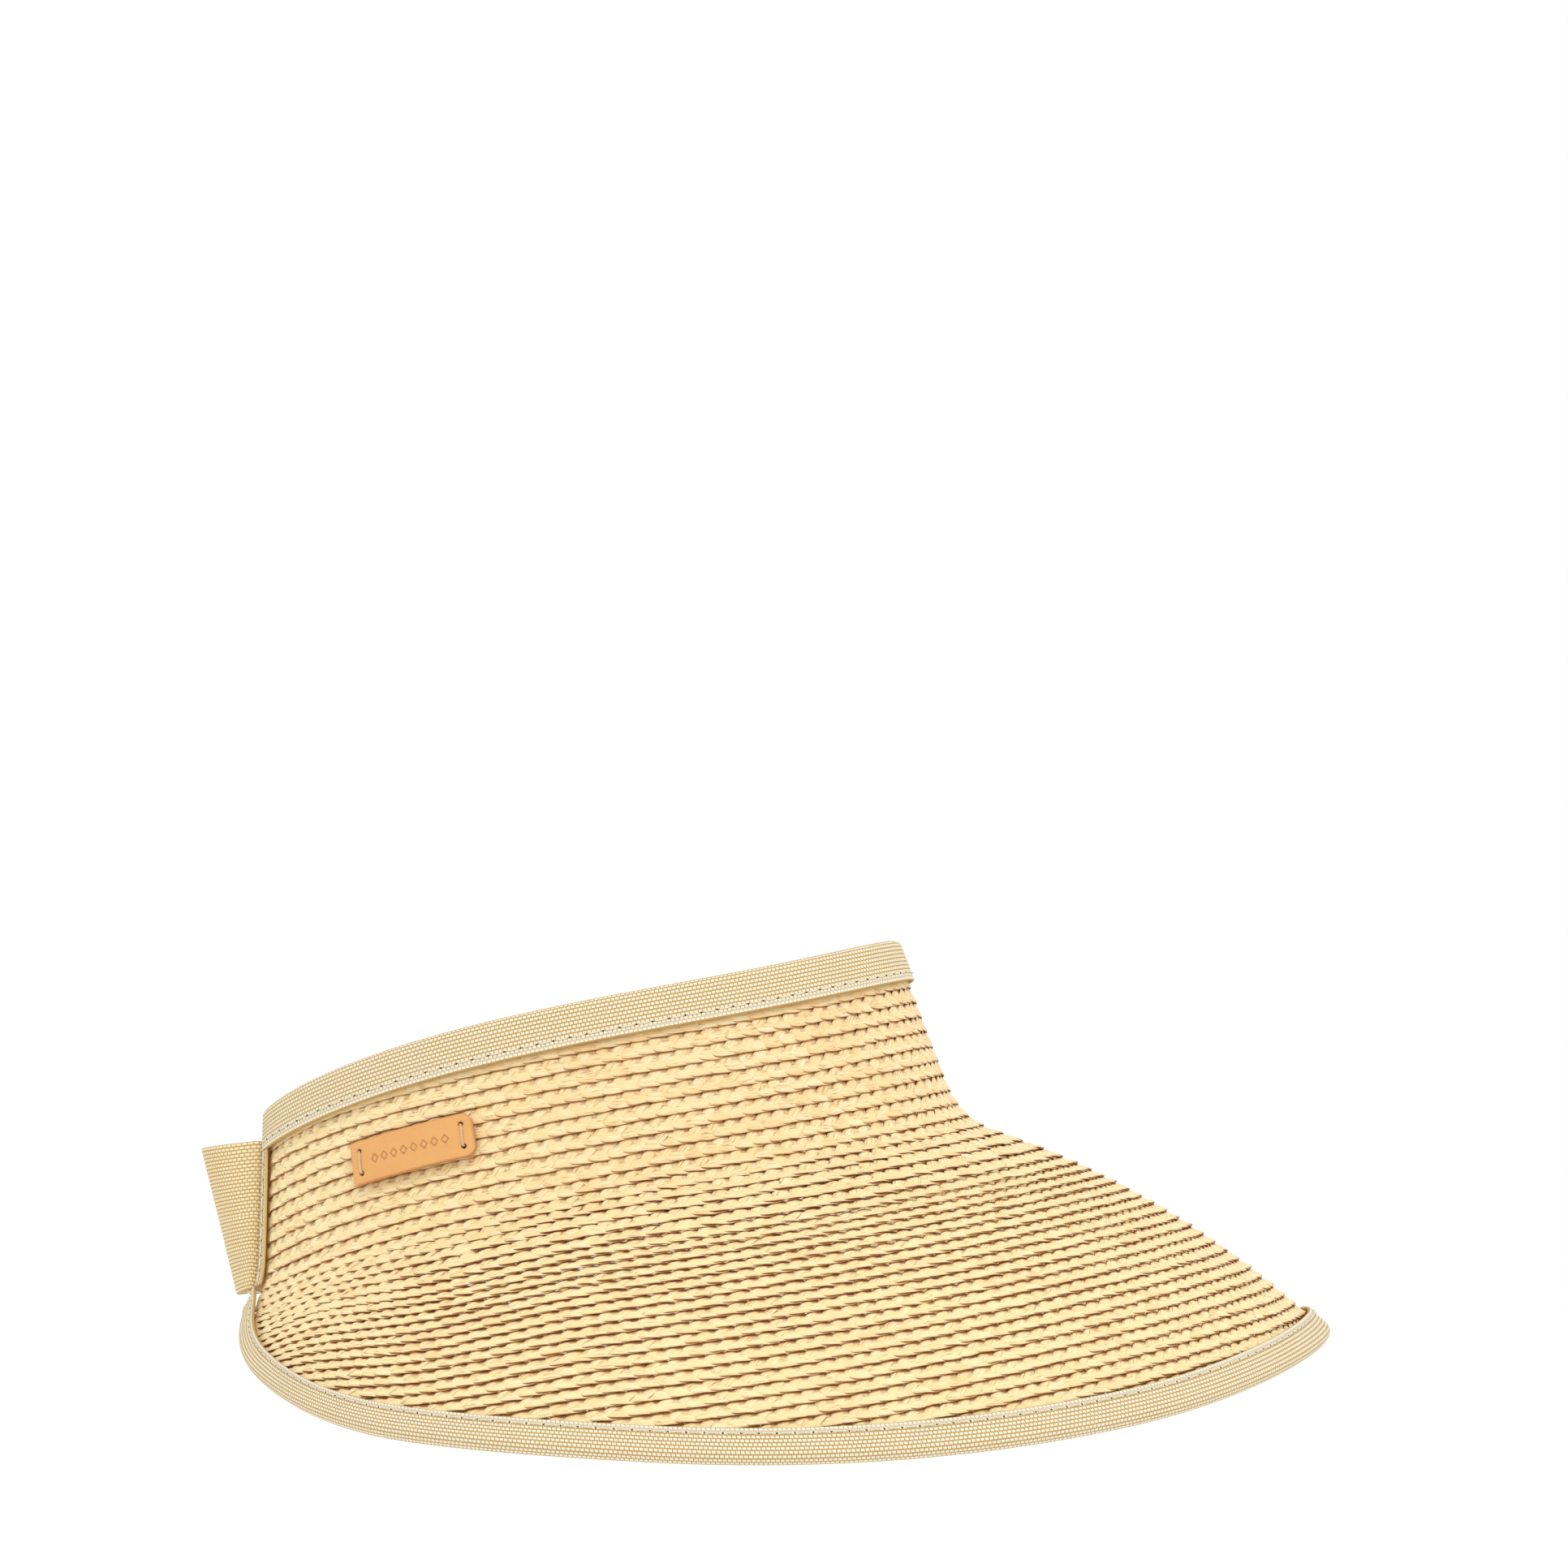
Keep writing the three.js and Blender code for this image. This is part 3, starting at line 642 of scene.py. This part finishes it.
def woven_tube(name, place, lengths, profile, material, relief=RELIEF, cell=CELL):
    """A ribbon: `place(i, section)` gives the points of station i's closed section.

    profile is (section points, distance across from a free edge, 1 where the weave shows)."""
    section, across, shows = profile
    points = np.stack([place(i, section) for i in range(len(lengths))])
    along_vector = np.gradient(points, axis=0)
    cross_vector = np.roll(points, -1, 1) - np.roll(points, 1, 1)
    normal = unit(np.cross(cross_vector, along_vector))
    middle = points.mean(1, keepdims=True)
    height = woven_height(lengths[:, None], across[None], cell) * shows[None] * relief
    if np.sum(normal * (points - middle)) < 0:
        normal = -normal
    points = points + normal * (height - relief * shows[None] * 0.5)[..., None]
    uv = np.stack(np.broadcast_arrays(lengths[:, None], across[None]), -1)
    built = Mesh()
    built.tube(points, uv)
    piece = built.piece(name, [material])
    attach(piece, "visor")
    return piece


def folded_profile(width, spacing=0.275, curl=2.2):
    """A ribbon folded over an edge: (distance from the fold, out), going round the section."""
    top, bottom = BINDING_GAP + RIBBON, -STRAW - BINDING_GAP - RIBBON
    radius = (top - bottom) / 2
    flat = np.arange(0, width - curl, spacing)
    turn = np.linspace(0, np.pi, int(math.pi * (radius + curl) / 2 / spacing))[1:-1]
    outer_leg = np.stack([width - flat, np.full(len(flat), top)], 1)
    bend = np.stack([curl - curl * np.sin(turn), (top + bottom) / 2 + radius * np.cos(turn)], 1)
    inner_leg = np.stack([curl + flat, np.full(len(flat), bottom)], 1)[::2]
    inner_leg[-1, 0] = width
    outside = np.concatenate([outer_leg, bend, inner_leg])
    steps = np.concatenate([[0], np.cumsum(np.linalg.norm(np.diff(outside, axis=0), axis=1))])
    across = np.minimum(steps, steps[-1] - steps)
    deepest = min(curl, width - 0.4)
    low, high = bottom + RIBBON, top - RIBBON
    back = np.array([
        [width + 0.05, bottom + 0.35], [width, low], [(width + deepest) / 2, low], [deepest, low],
        [RIBBON + 0.2, bottom + radius], [deepest, high], [(width + deepest) / 2, high], [width, high],
        [width + 0.05, top - 0.35],
    ])
    section = np.concatenate([outside, back])
    across = np.concatenate([across, np.full(len(back), 0.05)])
    shows = np.concatenate([np.ones(len(outside)), np.zeros(len(back))])
    return section, across, shows


def even_angles(depth_of, out, low, high, spacing):
    """Angles at even distances along a line of the straw, and those distances."""
    angles = np.arange(low, high + 0.1, 0.25)
    path = straw.point(angles, depth_of(angles), np.full(len(angles), out))
    length = np.concatenate([[0], np.cumsum(np.linalg.norm(np.diff(path, axis=0), axis=1))])
    at = np.linspace(0, length[-1], int(length[-1] / spacing))
    return np.interp(at, length, angles), at


def ring_binding(name, edge_of, towards, width, step, spacing):
    """The ribbon folded over the crown's top edge or the brim's outer edge."""
    angles, lengths = even_angles(edge_of, 1.0, -BACK_ANGLE - 0.8, BACK_ANGLE + 0.8, step)
    edges = edge_of(angles)

    def place(i, section):
        depth = edges[i] + towards * section[:, 0]
        return straw.point(np.full(len(section), angles[i]), depth, section[:, 1])

    return woven_tube(name, place, lengths, folded_profile(width, spacing), RIBBON_MATERIAL)


STITCH_SHARE = 0.72  # of the spacing; the rest is the gap with the needle's hole


def stitch_line(name, place, total, spacing=4.5, thread=0.24, hole_shade_dots=True):
    """Stitches along a line: place(distance, sideways, out) gives points in mm."""
    built = Mesh()
    around = np.arange(6) / 6 * 2 * np.pi
    c, s = np.cos(around), np.sin(around)
    count = int(total / spacing)
    for k in range(count):
        start = (k + 0.5) * total / count - spacing * STITCH_SHARE / 2
        t = np.linspace(0, 1, 7)
        x = start + t * spacing * STITCH_SHARE
        rise = 0.26 * np.sin(np.pi * t) ** 0.5 - 0.08
        radius = thread * (0.45 + 0.55 * np.sin(np.pi * np.clip(t, 0.08, 0.92)) ** 0.5)
        rings = place(
            x[:, None] + 0 * c, radius[:, None] * c[None], rise[:, None] + radius[:, None] * s[None]
        )
        uv = np.stack(np.broadcast_arrays(x[:, None], around[None]), -1)
        built.tube(rings, uv, 0)
        # Painted shade: a small dark dot at the needle hole between stitches.
        if hole_shade_dots:
            size = np.array([0.05, 0.3, 0.05])
            xs = start - spacing * (1 - STITCH_SHARE) / 2 + np.array([-0.3, 0.0, 0.3])
            rings = place(xs[:, None] + 0 * c, size[:, None] * c[None], 0.02 + 0.3 * size[:, None] * s[None])
            uv = np.stack(np.broadcast_arrays(xs[:, None], around[None]), -1)
            built.tube(rings, uv, 1)
    piece = built.piece(name, [THREAD, NEEDLE_HOLE_SHADE])
    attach(piece, "visor")
    return piece


def stitches_round(name, depth_of, out, sign=1.0, low=-BACK_ANGLE, high=BACK_ANGLE, spacing=4.5):
    angles, lengths = even_angles(depth_of, out, low, high, 1.0)

    def place(distance, sideways, rise):
        angle = np.interp(distance, lengths, angles)
        return straw.point(angle, depth_of(angle) + sideways, out + sign * rise)

    return stitch_line(name, place, lengths[-1], spacing)


def bindings():
    def top_edge(angle):
        return np.full(np.shape(angle), -float(CROWN_HEIGHT))

    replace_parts(ring_binding("top_ribbon", top_edge, 1, TOP_BINDING_WIDTH, 0.42, 0.275), "top_binding")
    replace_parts(ring_binding("brim_ribbon", brim_depth, -1, BRIM_BINDING_WIDTH, 0.5, 0.29), "brim_binding")
    face = BINDING_GAP + RIBBON + 0.05
    for side, out, sign in (("outside", face, 1), ("inside", -STRAW - face, -1)):
        stitches_round(
            f"top_stitches_{side}", lambda a: top_edge(a) + TOP_BINDING_WIDTH - 2.2, out, sign
        )
        stitches_round(
            f"brim_stitches_{side}", lambda a: brim_depth(a) - BRIM_BINDING_WIDTH + 1.7, out, sign
        )


def along_to_angle(side, along, depth):
    """The angle at `along` mm past one back end of the straw."""
    a = straw.point(side * BACK_ANGLE, depth, 0.0)
    b = straw.point(side * (BACK_ANGLE - 1.0), depth, 0.0)
    return side * (BACK_ANGLE + along / np.linalg.norm(a - b, axis=-1))


def end_bindings():
    top, bottom = -CROWN_HEIGHT + TOP_BINDING_WIDTH + 0.1, BRIM_DEPTHS[-1] - BRIM_BINDING_WIDTH - 0.3
    depths = np.linspace(top, bottom, int((bottom - top) / 0.4))
    edge = BINDING_GAP + RIBBON
    for side, word in ((1, "right"), (-1, "left")):

        def place(i, section):
            depth = np.full(len(section), depths[i])
            return straw.point(along_to_angle(side, edge - section[:, 0], depth), depth, section[:, 1])

        profile = folded_profile(END_BINDING_WIDTH + edge, curl=1.6)
        piece = woven_tube(f"end_ribbon_{word}", place, depths - top, profile, SHADED_END_MATERIAL)
        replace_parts(piece, f"end_binding_{word}")

        def stitch_place(distance, sideways, rise):
            depth = top + distance
            return straw.point(along_to_angle(side, sideways - 2.2, depth), depth, edge + 0.05 + rise)

        stitch_line(f"end_stitches_{word}", stitch_place, bottom - top, 4.2)


# ---------------------------------------------------------------- inside of the crown
LINING = -STRAW - BINDING_GAP
SWEATBAND_ANGLE, SWEATBAND_TOP, SWEATBAND_BOTTOM = 142.0, -38.0, -10.0


def sweatband():
    low, high = -SWEATBAND_ANGLE, SWEATBAND_ANGLE
    top, bottom = SWEATBAND_TOP, SWEATBAND_BOTTOM
    middle = (top + bottom) / 2
    angles, lengths = even_angles(lambda a: np.full(np.shape(a), middle), LINING, low, high, 0.8)
    flat = np.arange(top, bottom + 0.01, 0.5)
    face = np.stack([flat, np.full(len(flat), LINING - RIBBON)], 1)
    face[[0, -1], 1] += 0.25
    back = np.stack([flat[::-7], np.full(len(flat[::-7]), LINING)], 1)
    section = np.concatenate([face, back])
    across = np.concatenate([flat - top, np.zeros(len(back))])
    shows = np.concatenate([np.ones(len(face)), np.zeros(len(back))])
    shows[[0, len(face) - 1]] = 0

    def place(i, section):
        return straw.point(np.full(len(section), angles[i]), section[:, 0], section[:, 1])

    profile = section, across, shows
    piece = woven_tube("sweatband_cloth", place, lengths, profile, COTTON, 0.10, (1.6, 1.0))
    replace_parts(piece, "sweatband")
    for word, depth in (("upper", top + 2), ("lower", bottom - 2)):
        stitches_round(
            f"sweatband_stitches_{word}", lambda a: np.full(np.shape(a), depth), LINING - RIBBON - 0.05, -1,
            low + 1, high - 1, 3.5,
        )


# ---------------------------------------------------------------- the closure
STRAP_TOP, STRAP_BOTTOM = -43.0, -1.0
EDGE = BINDING_GAP + RIBBON
STRAP_ALONG = EDGE + 0.3
HINGE_OUT = EDGE + 0.3
LOOP_TOP, LOOP_BOTTOM, LOOP_DIP = 18.0, 6.1, 1.8
TAB_END, INNER_LAYER = 30.0, -3.5
PATCH_TURN, PATCH_MARGIN, FUZZ = 24, 0.09, 0.3


def past_end(side, along, depth, out):
    """A point `along` mm past the cut end, on the straight line on from the straw."""
    end = straw.point(side * BACK_ANGLE, depth, out)
    before = straw.point(side * (BACK_ANGLE - 1.0), depth, out)
    return end + along * unit(end - before)


LOWER = past_end(1, STRAP_ALONG, STRAP_BOTTOM, HINGE_OUT)
UPPER = past_end(1, STRAP_ALONG, STRAP_TOP, HINGE_OUT)


def loop_point(turn, rise, out):
    """The closure loop: turn is -90 at the right strap end and 90 at the left, rise 0 to 1 upwards."""
    turn, rise, out = np.broadcast_arrays(np.asarray(turn, float), rise, out)
    start = LOWER + (UPPER - LOWER) * rise[..., None]
    reach = LOOP_BOTTOM + (LOOP_TOP - LOOP_BOTTOM) * rise
    gap = np.abs(start[..., 1])
    t = np.radians(turn)
    nx, ny = -gap * np.cos(t), reach * np.sin(t)
    size = np.hypot(nx, ny)
    return np.stack(
        [
            start[..., 0] - reach * np.cos(t) + out * nx / size,
            gap * np.sin(t) + out * ny / size,
            start[..., 2] - LOOP_DIP * np.cos(t),
        ],
        -1,
    )


def closure_ribbon(side, layer):
    """The middle of one ribbon: sewn inside the straw, out through the gap, round to its free end."""
    rises = np.linspace(0, 1, 115)
    depths = STRAP_BOTTOM + (STRAP_TOP - STRAP_BOTTOM) * rises
    inside = LINING - RIBBON - 0.3 - RIBBON / 2
    rows = []
    for along in np.linspace(-16, STRAP_ALONG - 0.9, 40):
        rows.append(straw.point(along_to_angle(side, along, depths), depths, inside + 0 * depths))
    corner = past_end(side, STRAP_ALONG + RIBBON / 2, depths, inside + 0 * depths)
    outside = past_end(side, STRAP_ALONG + RIBBON / 2, depths, HINGE_OUT - 0.3 + 0 * depths)
    for t in np.linspace(0.15, 0.92, 12):
        rows.append(corner + (outside - corner) * t)
    for turn in np.linspace(-88, TAB_END, 110):
        out = -RIBBON / 2 + layer * ease((90 + turn) / 50)
        rows.append(loop_point(side * turn, rises, out))
    return np.array(rows)


def thicken(rows, name, nodes):
    """A woven ribbon round a grid of middle points (n, m, 3)."""
    step = np.linalg.norm(np.diff(rows, axis=0), axis=2).mean(1)
    length = np.concatenate([[0], np.cumsum(step)])
    at = np.linspace(0, length[-1], int(length[-1] / 0.4))
    i = np.clip(np.searchsorted(length, at) - 1, 0, len(length) - 2)
    f = ((at - length[i]) / (length[i + 1] - length[i]))[:, None, None]
    grid = rows[i] * (1 - f) + rows[i + 1] * f
    for _ in range(6):
        grid[1:-1] = (grid[:-2] + 2 * grid[1:-1] + grid[2:]) / 4
    forward = unit(np.gradient(grid, axis=0))
    up = unit(np.gradient(grid, axis=1))
    normal = unit(np.cross(forward, up))
    width = np.linalg.norm(np.diff(grid[0], axis=0), axis=1).sum()
    across = np.linspace(0, width, grid.shape[1])
    height = woven_height(at[:, None], across[None]) * RELIEF - RELIEF / 2
    rim = np.ones(len(across))
    rim[[0, -1]] = 0.5
    half = (RIBBON / 2 - 0.06) * rim[None]
    face = grid + normal * (half + height)[..., None]
    back = grid - normal * (half + height)[..., None]
    rings = np.concatenate([face, back[:, ::-1]], 1)
    v = np.concatenate([across, across[::-1]])
    edge = np.minimum(v, width - v)
    uv = np.stack(np.broadcast_arrays(at[:, None], edge[None]), -1)
    built = Mesh()
    built.tube(rings, uv)
    piece = built.piece(name, [TAB_MATERIAL])
    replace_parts(piece, *nodes)
    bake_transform(piece)
    return piece


def patch(name, outer, thickness, material, body, node, slot):
    """A hook or loop patch lying on a tab. The face towards the other patch is rough."""
    turns = np.linspace(-PATCH_TURN, PATCH_TURN, 41)
    rises = np.linspace(PATCH_MARGIN, 1 - PATCH_MARGIN, 61)
    top = loop_point(turns[:, None], rises[None], outer)
    bottom = loop_point(turns[:, None], rises[None], outer - thickness)
    rough = unit(top - bottom) * (FUZZ - np.random.default_rng(7).uniform(0, FUZZ, top.shape[:2]))[..., None]
    if slot == "loop_tape":
        top = top - rough
    else:
        bottom = bottom + rough
    rings = np.concatenate([top, bottom[:, ::-1]], 1)
    round_patch = np.concatenate([rises, rises[::-1]])[None] * 40
    uv = np.stack(np.broadcast_arrays(turns[:, None] * 0.3, round_patch), -1)
    built = Mesh()
    built.tube(rings, uv)
    piece = built.piece(name, [material])
    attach(piece, body)
    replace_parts(piece, node)
    return piece


def closure():
    for side, word, tab, body, layer in (
        (1, "right", "closure_tab_outer", "outer_tab", 0.0),
        (-1, "left", "closure_tab_inner", "inner_tab", INNER_LAYER),
    ):
        rows = closure_ribbon(side, layer)
        thicken(rows, f"closure_ribbon_{word}", (f"strap_root_{word}", tab))
    patch("hook_pad", -1.1, 0.8, HOOKS, "outer_tab", "hook_patch", "hook_tape")
    patch("loop_pad", -2.2, 1.0, PILE, "inner_tab", "loop_patch", "loop_tape")


# ---------------------------------------------------------------- the leather label
LABEL_ANGLE, LABEL_DEPTH, LABEL_SLOPE = 117.8, -22.4, 0.03
LABEL_LENGTH, LABEL_HEIGHT, LABEL_THICKNESS, LABEL_LIFT = 36.5, 12.0, 1.8, 0.4
HOLE_X, HOLE_Y, HOLE_RADIUS = LABEL_LENGTH / 2 - 3.0, LABEL_HEIGHT / 2 - 2.9, 0.62
FRONT_CORNER, REAR_CORNER, LABEL_BEVEL = 2.4, 1.1, 0.3
LABEL_GRID, LABEL_UNDER = 0.17, 0.05
HOLE_DEPTH, DIMPLE_DEPTH, STAMP_DEPTH = 1.4, 0.12, 0.2
PLY_OFFSET, PLY_RADIUS, PLY_TWIST = 0.17, 0.2, 14
LOZENGE_PITCH, LOZENGE_HALF, LOZENGE_COUNT = 3.0, (1.2, 1.5), 8


def label_point(x, depth, out):
    a = straw.point(LABEL_ANGLE, LABEL_DEPTH, 0.0)
    b = straw.point(LABEL_ANGLE + 1.0, LABEL_DEPTH, 0.0)
    per_mm = 1 / np.linalg.norm(a - b)
    x = np.asarray(x, float)
    return straw.point(LABEL_ANGLE + x * per_mm, LABEL_DEPTH + np.asarray(depth) - LABEL_SLOPE * x, out)


def stamped(x, y):
    """1 on the outlines of a plain row of lozenges pressed into the leather."""
    from_middle = np.abs((x / LOZENGE_PITCH) % 1 - 0.5) * LOZENGE_PITCH
    size = from_middle / LOZENGE_HALF[0] + np.abs(y) / LOZENGE_HALF[1]
    ring = ease((size - 0.55) / 0.12) * (1 - ease((size - 0.92) / 0.12))
    return ring * (np.abs(x) < LOZENGE_COUNT * LOZENGE_PITCH / 2)


def leather_label():
    """A thick leather tag with rounded corners, four stitch holes sunk as pits, and a stamped row."""
    rng = np.random.default_rng(3)
    half = LABEL_LENGTH / 2
    x = np.linspace(-half, half, int(LABEL_LENGTH / LABEL_GRID))
    corner = np.where(x < 0, FRONT_CORNER, REAR_CORNER)
    past = np.clip((np.abs(x) - half + corner) / corner, 0, 1)
    tall = LABEL_HEIGHT / 2 - corner + corner * (1 - past**1.7) ** (1 / 1.7)
    tall = tall + wander(rng, x, 1.5, 0.05)
    lip = LABEL_BEVEL * (1 - np.sqrt(1 - np.clip(1 - (half - np.abs(x)) / LABEL_BEVEL, 0, 1) ** 2))
    share = np.linspace(1, -1, int(LABEL_HEIGHT / LABEL_GRID))
    y = share[None] * (tall - LABEL_BEVEL)[:, None]
    xs = x[:, None] + 0 * y
    away = np.min([np.hypot(xs - sx * HOLE_X, y - sy * HOLE_Y) for sx in (-1, 1) for sy in (-1, 1)], 0)
    hole = 1 - ease((away - HOLE_RADIUS + 0.12) / 0.24)
    dimple = np.exp(-((away / 1.1) ** 2))
    stamp = stamped(xs, y)
    grain = rng.standard_normal(y.shape) * 0.012
    pressed = HOLE_DEPTH * hole + DIMPLE_DEPTH * dimple + STAMP_DEPTH * stamp
    top = LABEL_THICKNESS - lip[:, None] - pressed + grain
    turn = np.linspace(0, np.pi / 2, 5)[1:]
    edge_y = (tall - LABEL_BEVEL)[:, None] + LABEL_BEVEL * np.sin(turn)[None]
    edge_z = (LABEL_THICKNESS - lip - LABEL_BEVEL)[:, None] + LABEL_BEVEL * np.cos(turn)[None]
    rough = rng.standard_normal((2, *edge_y.shape)) * 0.035
    under = np.linspace(-1, 1, 12)
    ring_y = np.concatenate([y, -edge_y, under[None] * tall[:, None] * 0.97, edge_y[:, ::-1]], 1)
    zeros, ones = np.zeros_like(edge_y), np.ones_like(edge_y)
    flat = np.zeros((len(x), len(under)))
    ring_z = np.concatenate([top, edge_z + rough[0], flat + LABEL_UNDER, edge_z[:, ::-1] + rough[1]], 1)
    # Painted shade in the stitch holes, for the leather's colour.
    holes = np.concatenate([hole, zeros, flat, zeros], 1)
    stamps = np.concatenate([stamp, zeros, flat, zeros], 1)
    near = np.minimum(tall[:, None] - np.abs(y), (half - np.abs(x))[:, None])
    edges = np.concatenate([1 - ease(near / 0.7), ones, flat + 1, ones], 1)
    rings = label_point(x[:, None] + 0 * ring_y, ring_y, LABEL_LIFT + ring_z)
    uv = np.stack([x[:, None] + 0 * ring_y, ring_y], -1)
    built = Mesh()
    built.tube(rings, uv, stamp=stamps.ravel(), edge=edges.ravel(), hole=holes.ravel())
    piece = built.piece("label_leather", [LEATHER])
    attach(piece, "visor")
    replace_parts(piece, "leather_label")
    for word, at in (("rear", HOLE_X), ("front", -HOLE_X)):
        thread(word, at)


def thread(word, x):
    """A two-ply waxed thread: down a hole, over the leather, and down the other hole."""
    top = LABEL_LIFT + LABEL_THICKNESS
    t = np.linspace(-1, 1, 90)
    reach = HOLE_Y - 0.3
    along = np.clip(t * 1.3, -1, 1) * reach
    drop = np.clip((np.abs(t) * 1.3 - 1) / 0.3, 0, 1)
    out = top + 0.18 + 0.12 * np.cos(along / reach * np.pi / 2) - drop**1.2 * 1.1
    middle = label_point(x + 0.1 * np.sin(t * 3), along, out)
    forward = unit(np.gradient(middle, axis=0))
    normal, _ = straw.frame(np.full(len(t), LABEL_ANGLE), np.full(len(t), LABEL_DEPTH))
    side = unit(np.cross(forward, unit(normal + 0.3 * forward)))
    normal = np.cross(side, forward)
    around = np.arange(8) / 8 * 2 * np.pi
    built = Mesh()
    for ply in (0, np.pi):
        turn = t * PLY_TWIST + ply
        centre = middle + PLY_OFFSET * (np.cos(turn)[:, None] * side + np.sin(turn)[:, None] * normal)
        rings = centre[:, None] + PLY_RADIUS * (
            np.cos(around)[None, :, None] * side[:, None] + np.sin(around)[None, :, None] * normal[:, None]
        )
        uv = np.stack(np.broadcast_arrays(t[:, None] * 6, around[None]), -1)
        built.tube(rings, uv)
    piece = built.piece(f"label_thread_{word}", [WAXED_THREAD])
    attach(piece, "visor")
    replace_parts(piece, f"label_stitch_{word}")


# ---------------------------------------------------------------- the blank care label, inside
CARE_ANGLE, CARE_WIDTH, CARE_TOP, CARE_BOTTOM = -112.0, 14.0, -34.0, -14.0
CARE_IN, CARE_OUT = -4.9, -4.5


def care_label():
    """A blank satin label with a turned edge at each end, stitched to the sweatband."""
    middle = (CARE_TOP + CARE_BOTTOM) / 2
    a = straw.point(CARE_ANGLE, middle, CARE_IN)
    b = straw.point(CARE_ANGLE + 1.0, middle, CARE_IN)
    per_mm = 1 / np.linalg.norm(a - b)
    across = np.linspace(-CARE_WIDTH / 2, CARE_WIDTH / 2, 70)
    down = np.linspace(CARE_TOP, CARE_BOTTOM, 100)
    hem = 1 - ease((np.minimum(down - CARE_TOP, CARE_BOTTOM - down) - 1.3) / 0.3)
    wave = 0.05 * np.sin(down / 3.1) * np.sin(across[:, None] / 4.0)
    inner = CARE_IN + 0.14 - 0.14 * hem[None] + wave * (1 - hem[None])
    inner[:, [0, -1]] = (CARE_IN + CARE_OUT) / 2
    outer = np.full_like(inner, CARE_OUT)
    depths = np.concatenate([down, down[::-1]])[None]
    rings = straw.point(
        CARE_ANGLE + across[:, None] * per_mm,
        depths + 0 * across[:, None],
        np.concatenate([inner, outer], 1),
    )
    uv = np.stack(np.broadcast_arrays(across[:, None], depths), -1)
    built = Mesh()
    built.tube(rings, uv)
    piece = built.piece("care_label_satin", [SATIN])
    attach(piece, "visor")
    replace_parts(piece, "care_label")

    def place(distance, sideways, rise):
        angle = CARE_ANGLE + (distance - CARE_WIDTH / 2) * per_mm
        return straw.point(angle, CARE_TOP + 0.8 + sideways, CARE_IN - 0.03 - rise)

    stitch_line("care_label_stitches", place, CARE_WIDTH, 2.2, 0.14, hole_shade_dots=False)


# ---------------------------------------------------------------- camera, light and floor
LENS, SENSOR = 115.0, 36
CAMERA_DISTANCE, CAMERA_HEIGHT, CAMERA_RISE = 1400, 45.3, 139.9  # mm; the rise is over the distance
KEY_PLACE, KEY_AIM, KEY_SIZE, KEY_POWER = (0.25, -0.9, 1.2), (0, 0, 0.05), 0.5, 4.0
FLOOR_SIZE, FLOOR_DROP, FLOOR_GREY = 6, 0.0004, 0.06


def camera():
    data = bpy.data.cameras.new("camera")
    data.sensor_width, data.lens = SENSOR, LENS
    piece = bpy.data.objects.new("camera", data)
    bpy.context.scene.collection.objects.link(piece)
    bpy.context.scene.camera = piece
    piece.location = (straw.shift[0] * MM, -CAMERA_DISTANCE * MM, (CAMERA_HEIGHT + straw.shift[2]) * MM)
    piece.rotation_euler = (math.radians(90) + math.atan2(CAMERA_RISE, CAMERA_DISTANCE), 0, 0)


def lights():
    world = bpy.data.worlds.new("white")
    world.use_nodes = True
    background = world.node_tree.nodes["Background"]
    background.inputs["Color"].default_value = (1, 1, 1, 1)
    background.inputs["Strength"].default_value = 1.0
    bpy.context.scene.world = world
    light = bpy.data.lights.new("key", "AREA")
    light.size, light.energy = KEY_SIZE, KEY_POWER
    key = bpy.data.objects.new("key", light)
    key.location = KEY_PLACE
    key.rotation_euler = (Vector(KEY_AIM) - Vector(KEY_PLACE)).to_track_quat("-Z", "Y").to_euler()
    bpy.context.scene.collection.objects.link(key)


def floor():
    """A plain floor that gives off its own white, so that only the object has shading."""
    bm = bmesh.new()
    bmesh.ops.create_grid(bm, x_segments=2, y_segments=2, size=FLOOR_SIZE)
    mesh = bpy.data.meshes.new("floor")
    bm.to_mesh(mesh)
    bm.free()
    piece = bpy.data.objects.new("floor", mesh)
    piece.location = (0, 0, -FLOOR_DROP)
    bpy.context.scene.collection.objects.link(piece)
    material, _, shader = nodes_of("white_floor")
    shader.inputs["Base Color"].default_value = colour(FLOOR_GREY, FLOOR_GREY, FLOOR_GREY)
    shader.inputs["Roughness"].default_value = 1.0
    shader.inputs["Specular IOR Level"].default_value = 0.0
    shader.inputs["Emission Color"].default_value = (1, 1, 1, 1)
    shader.inputs["Emission Strength"].default_value = 1.0
    mesh.materials.append(material)


camera()
lights()
floor()
view = bpy.context.scene.view_settings
view.view_transform, view.look, view.exposure = "Standard", "None", 0.0
straw_rows()
bindings()
end_bindings()
sweatband()
closure()
leather_label()
care_label()
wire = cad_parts["brim_wire"]
wire.data.materials.clear()
wire.data.materials.append(wire_material())
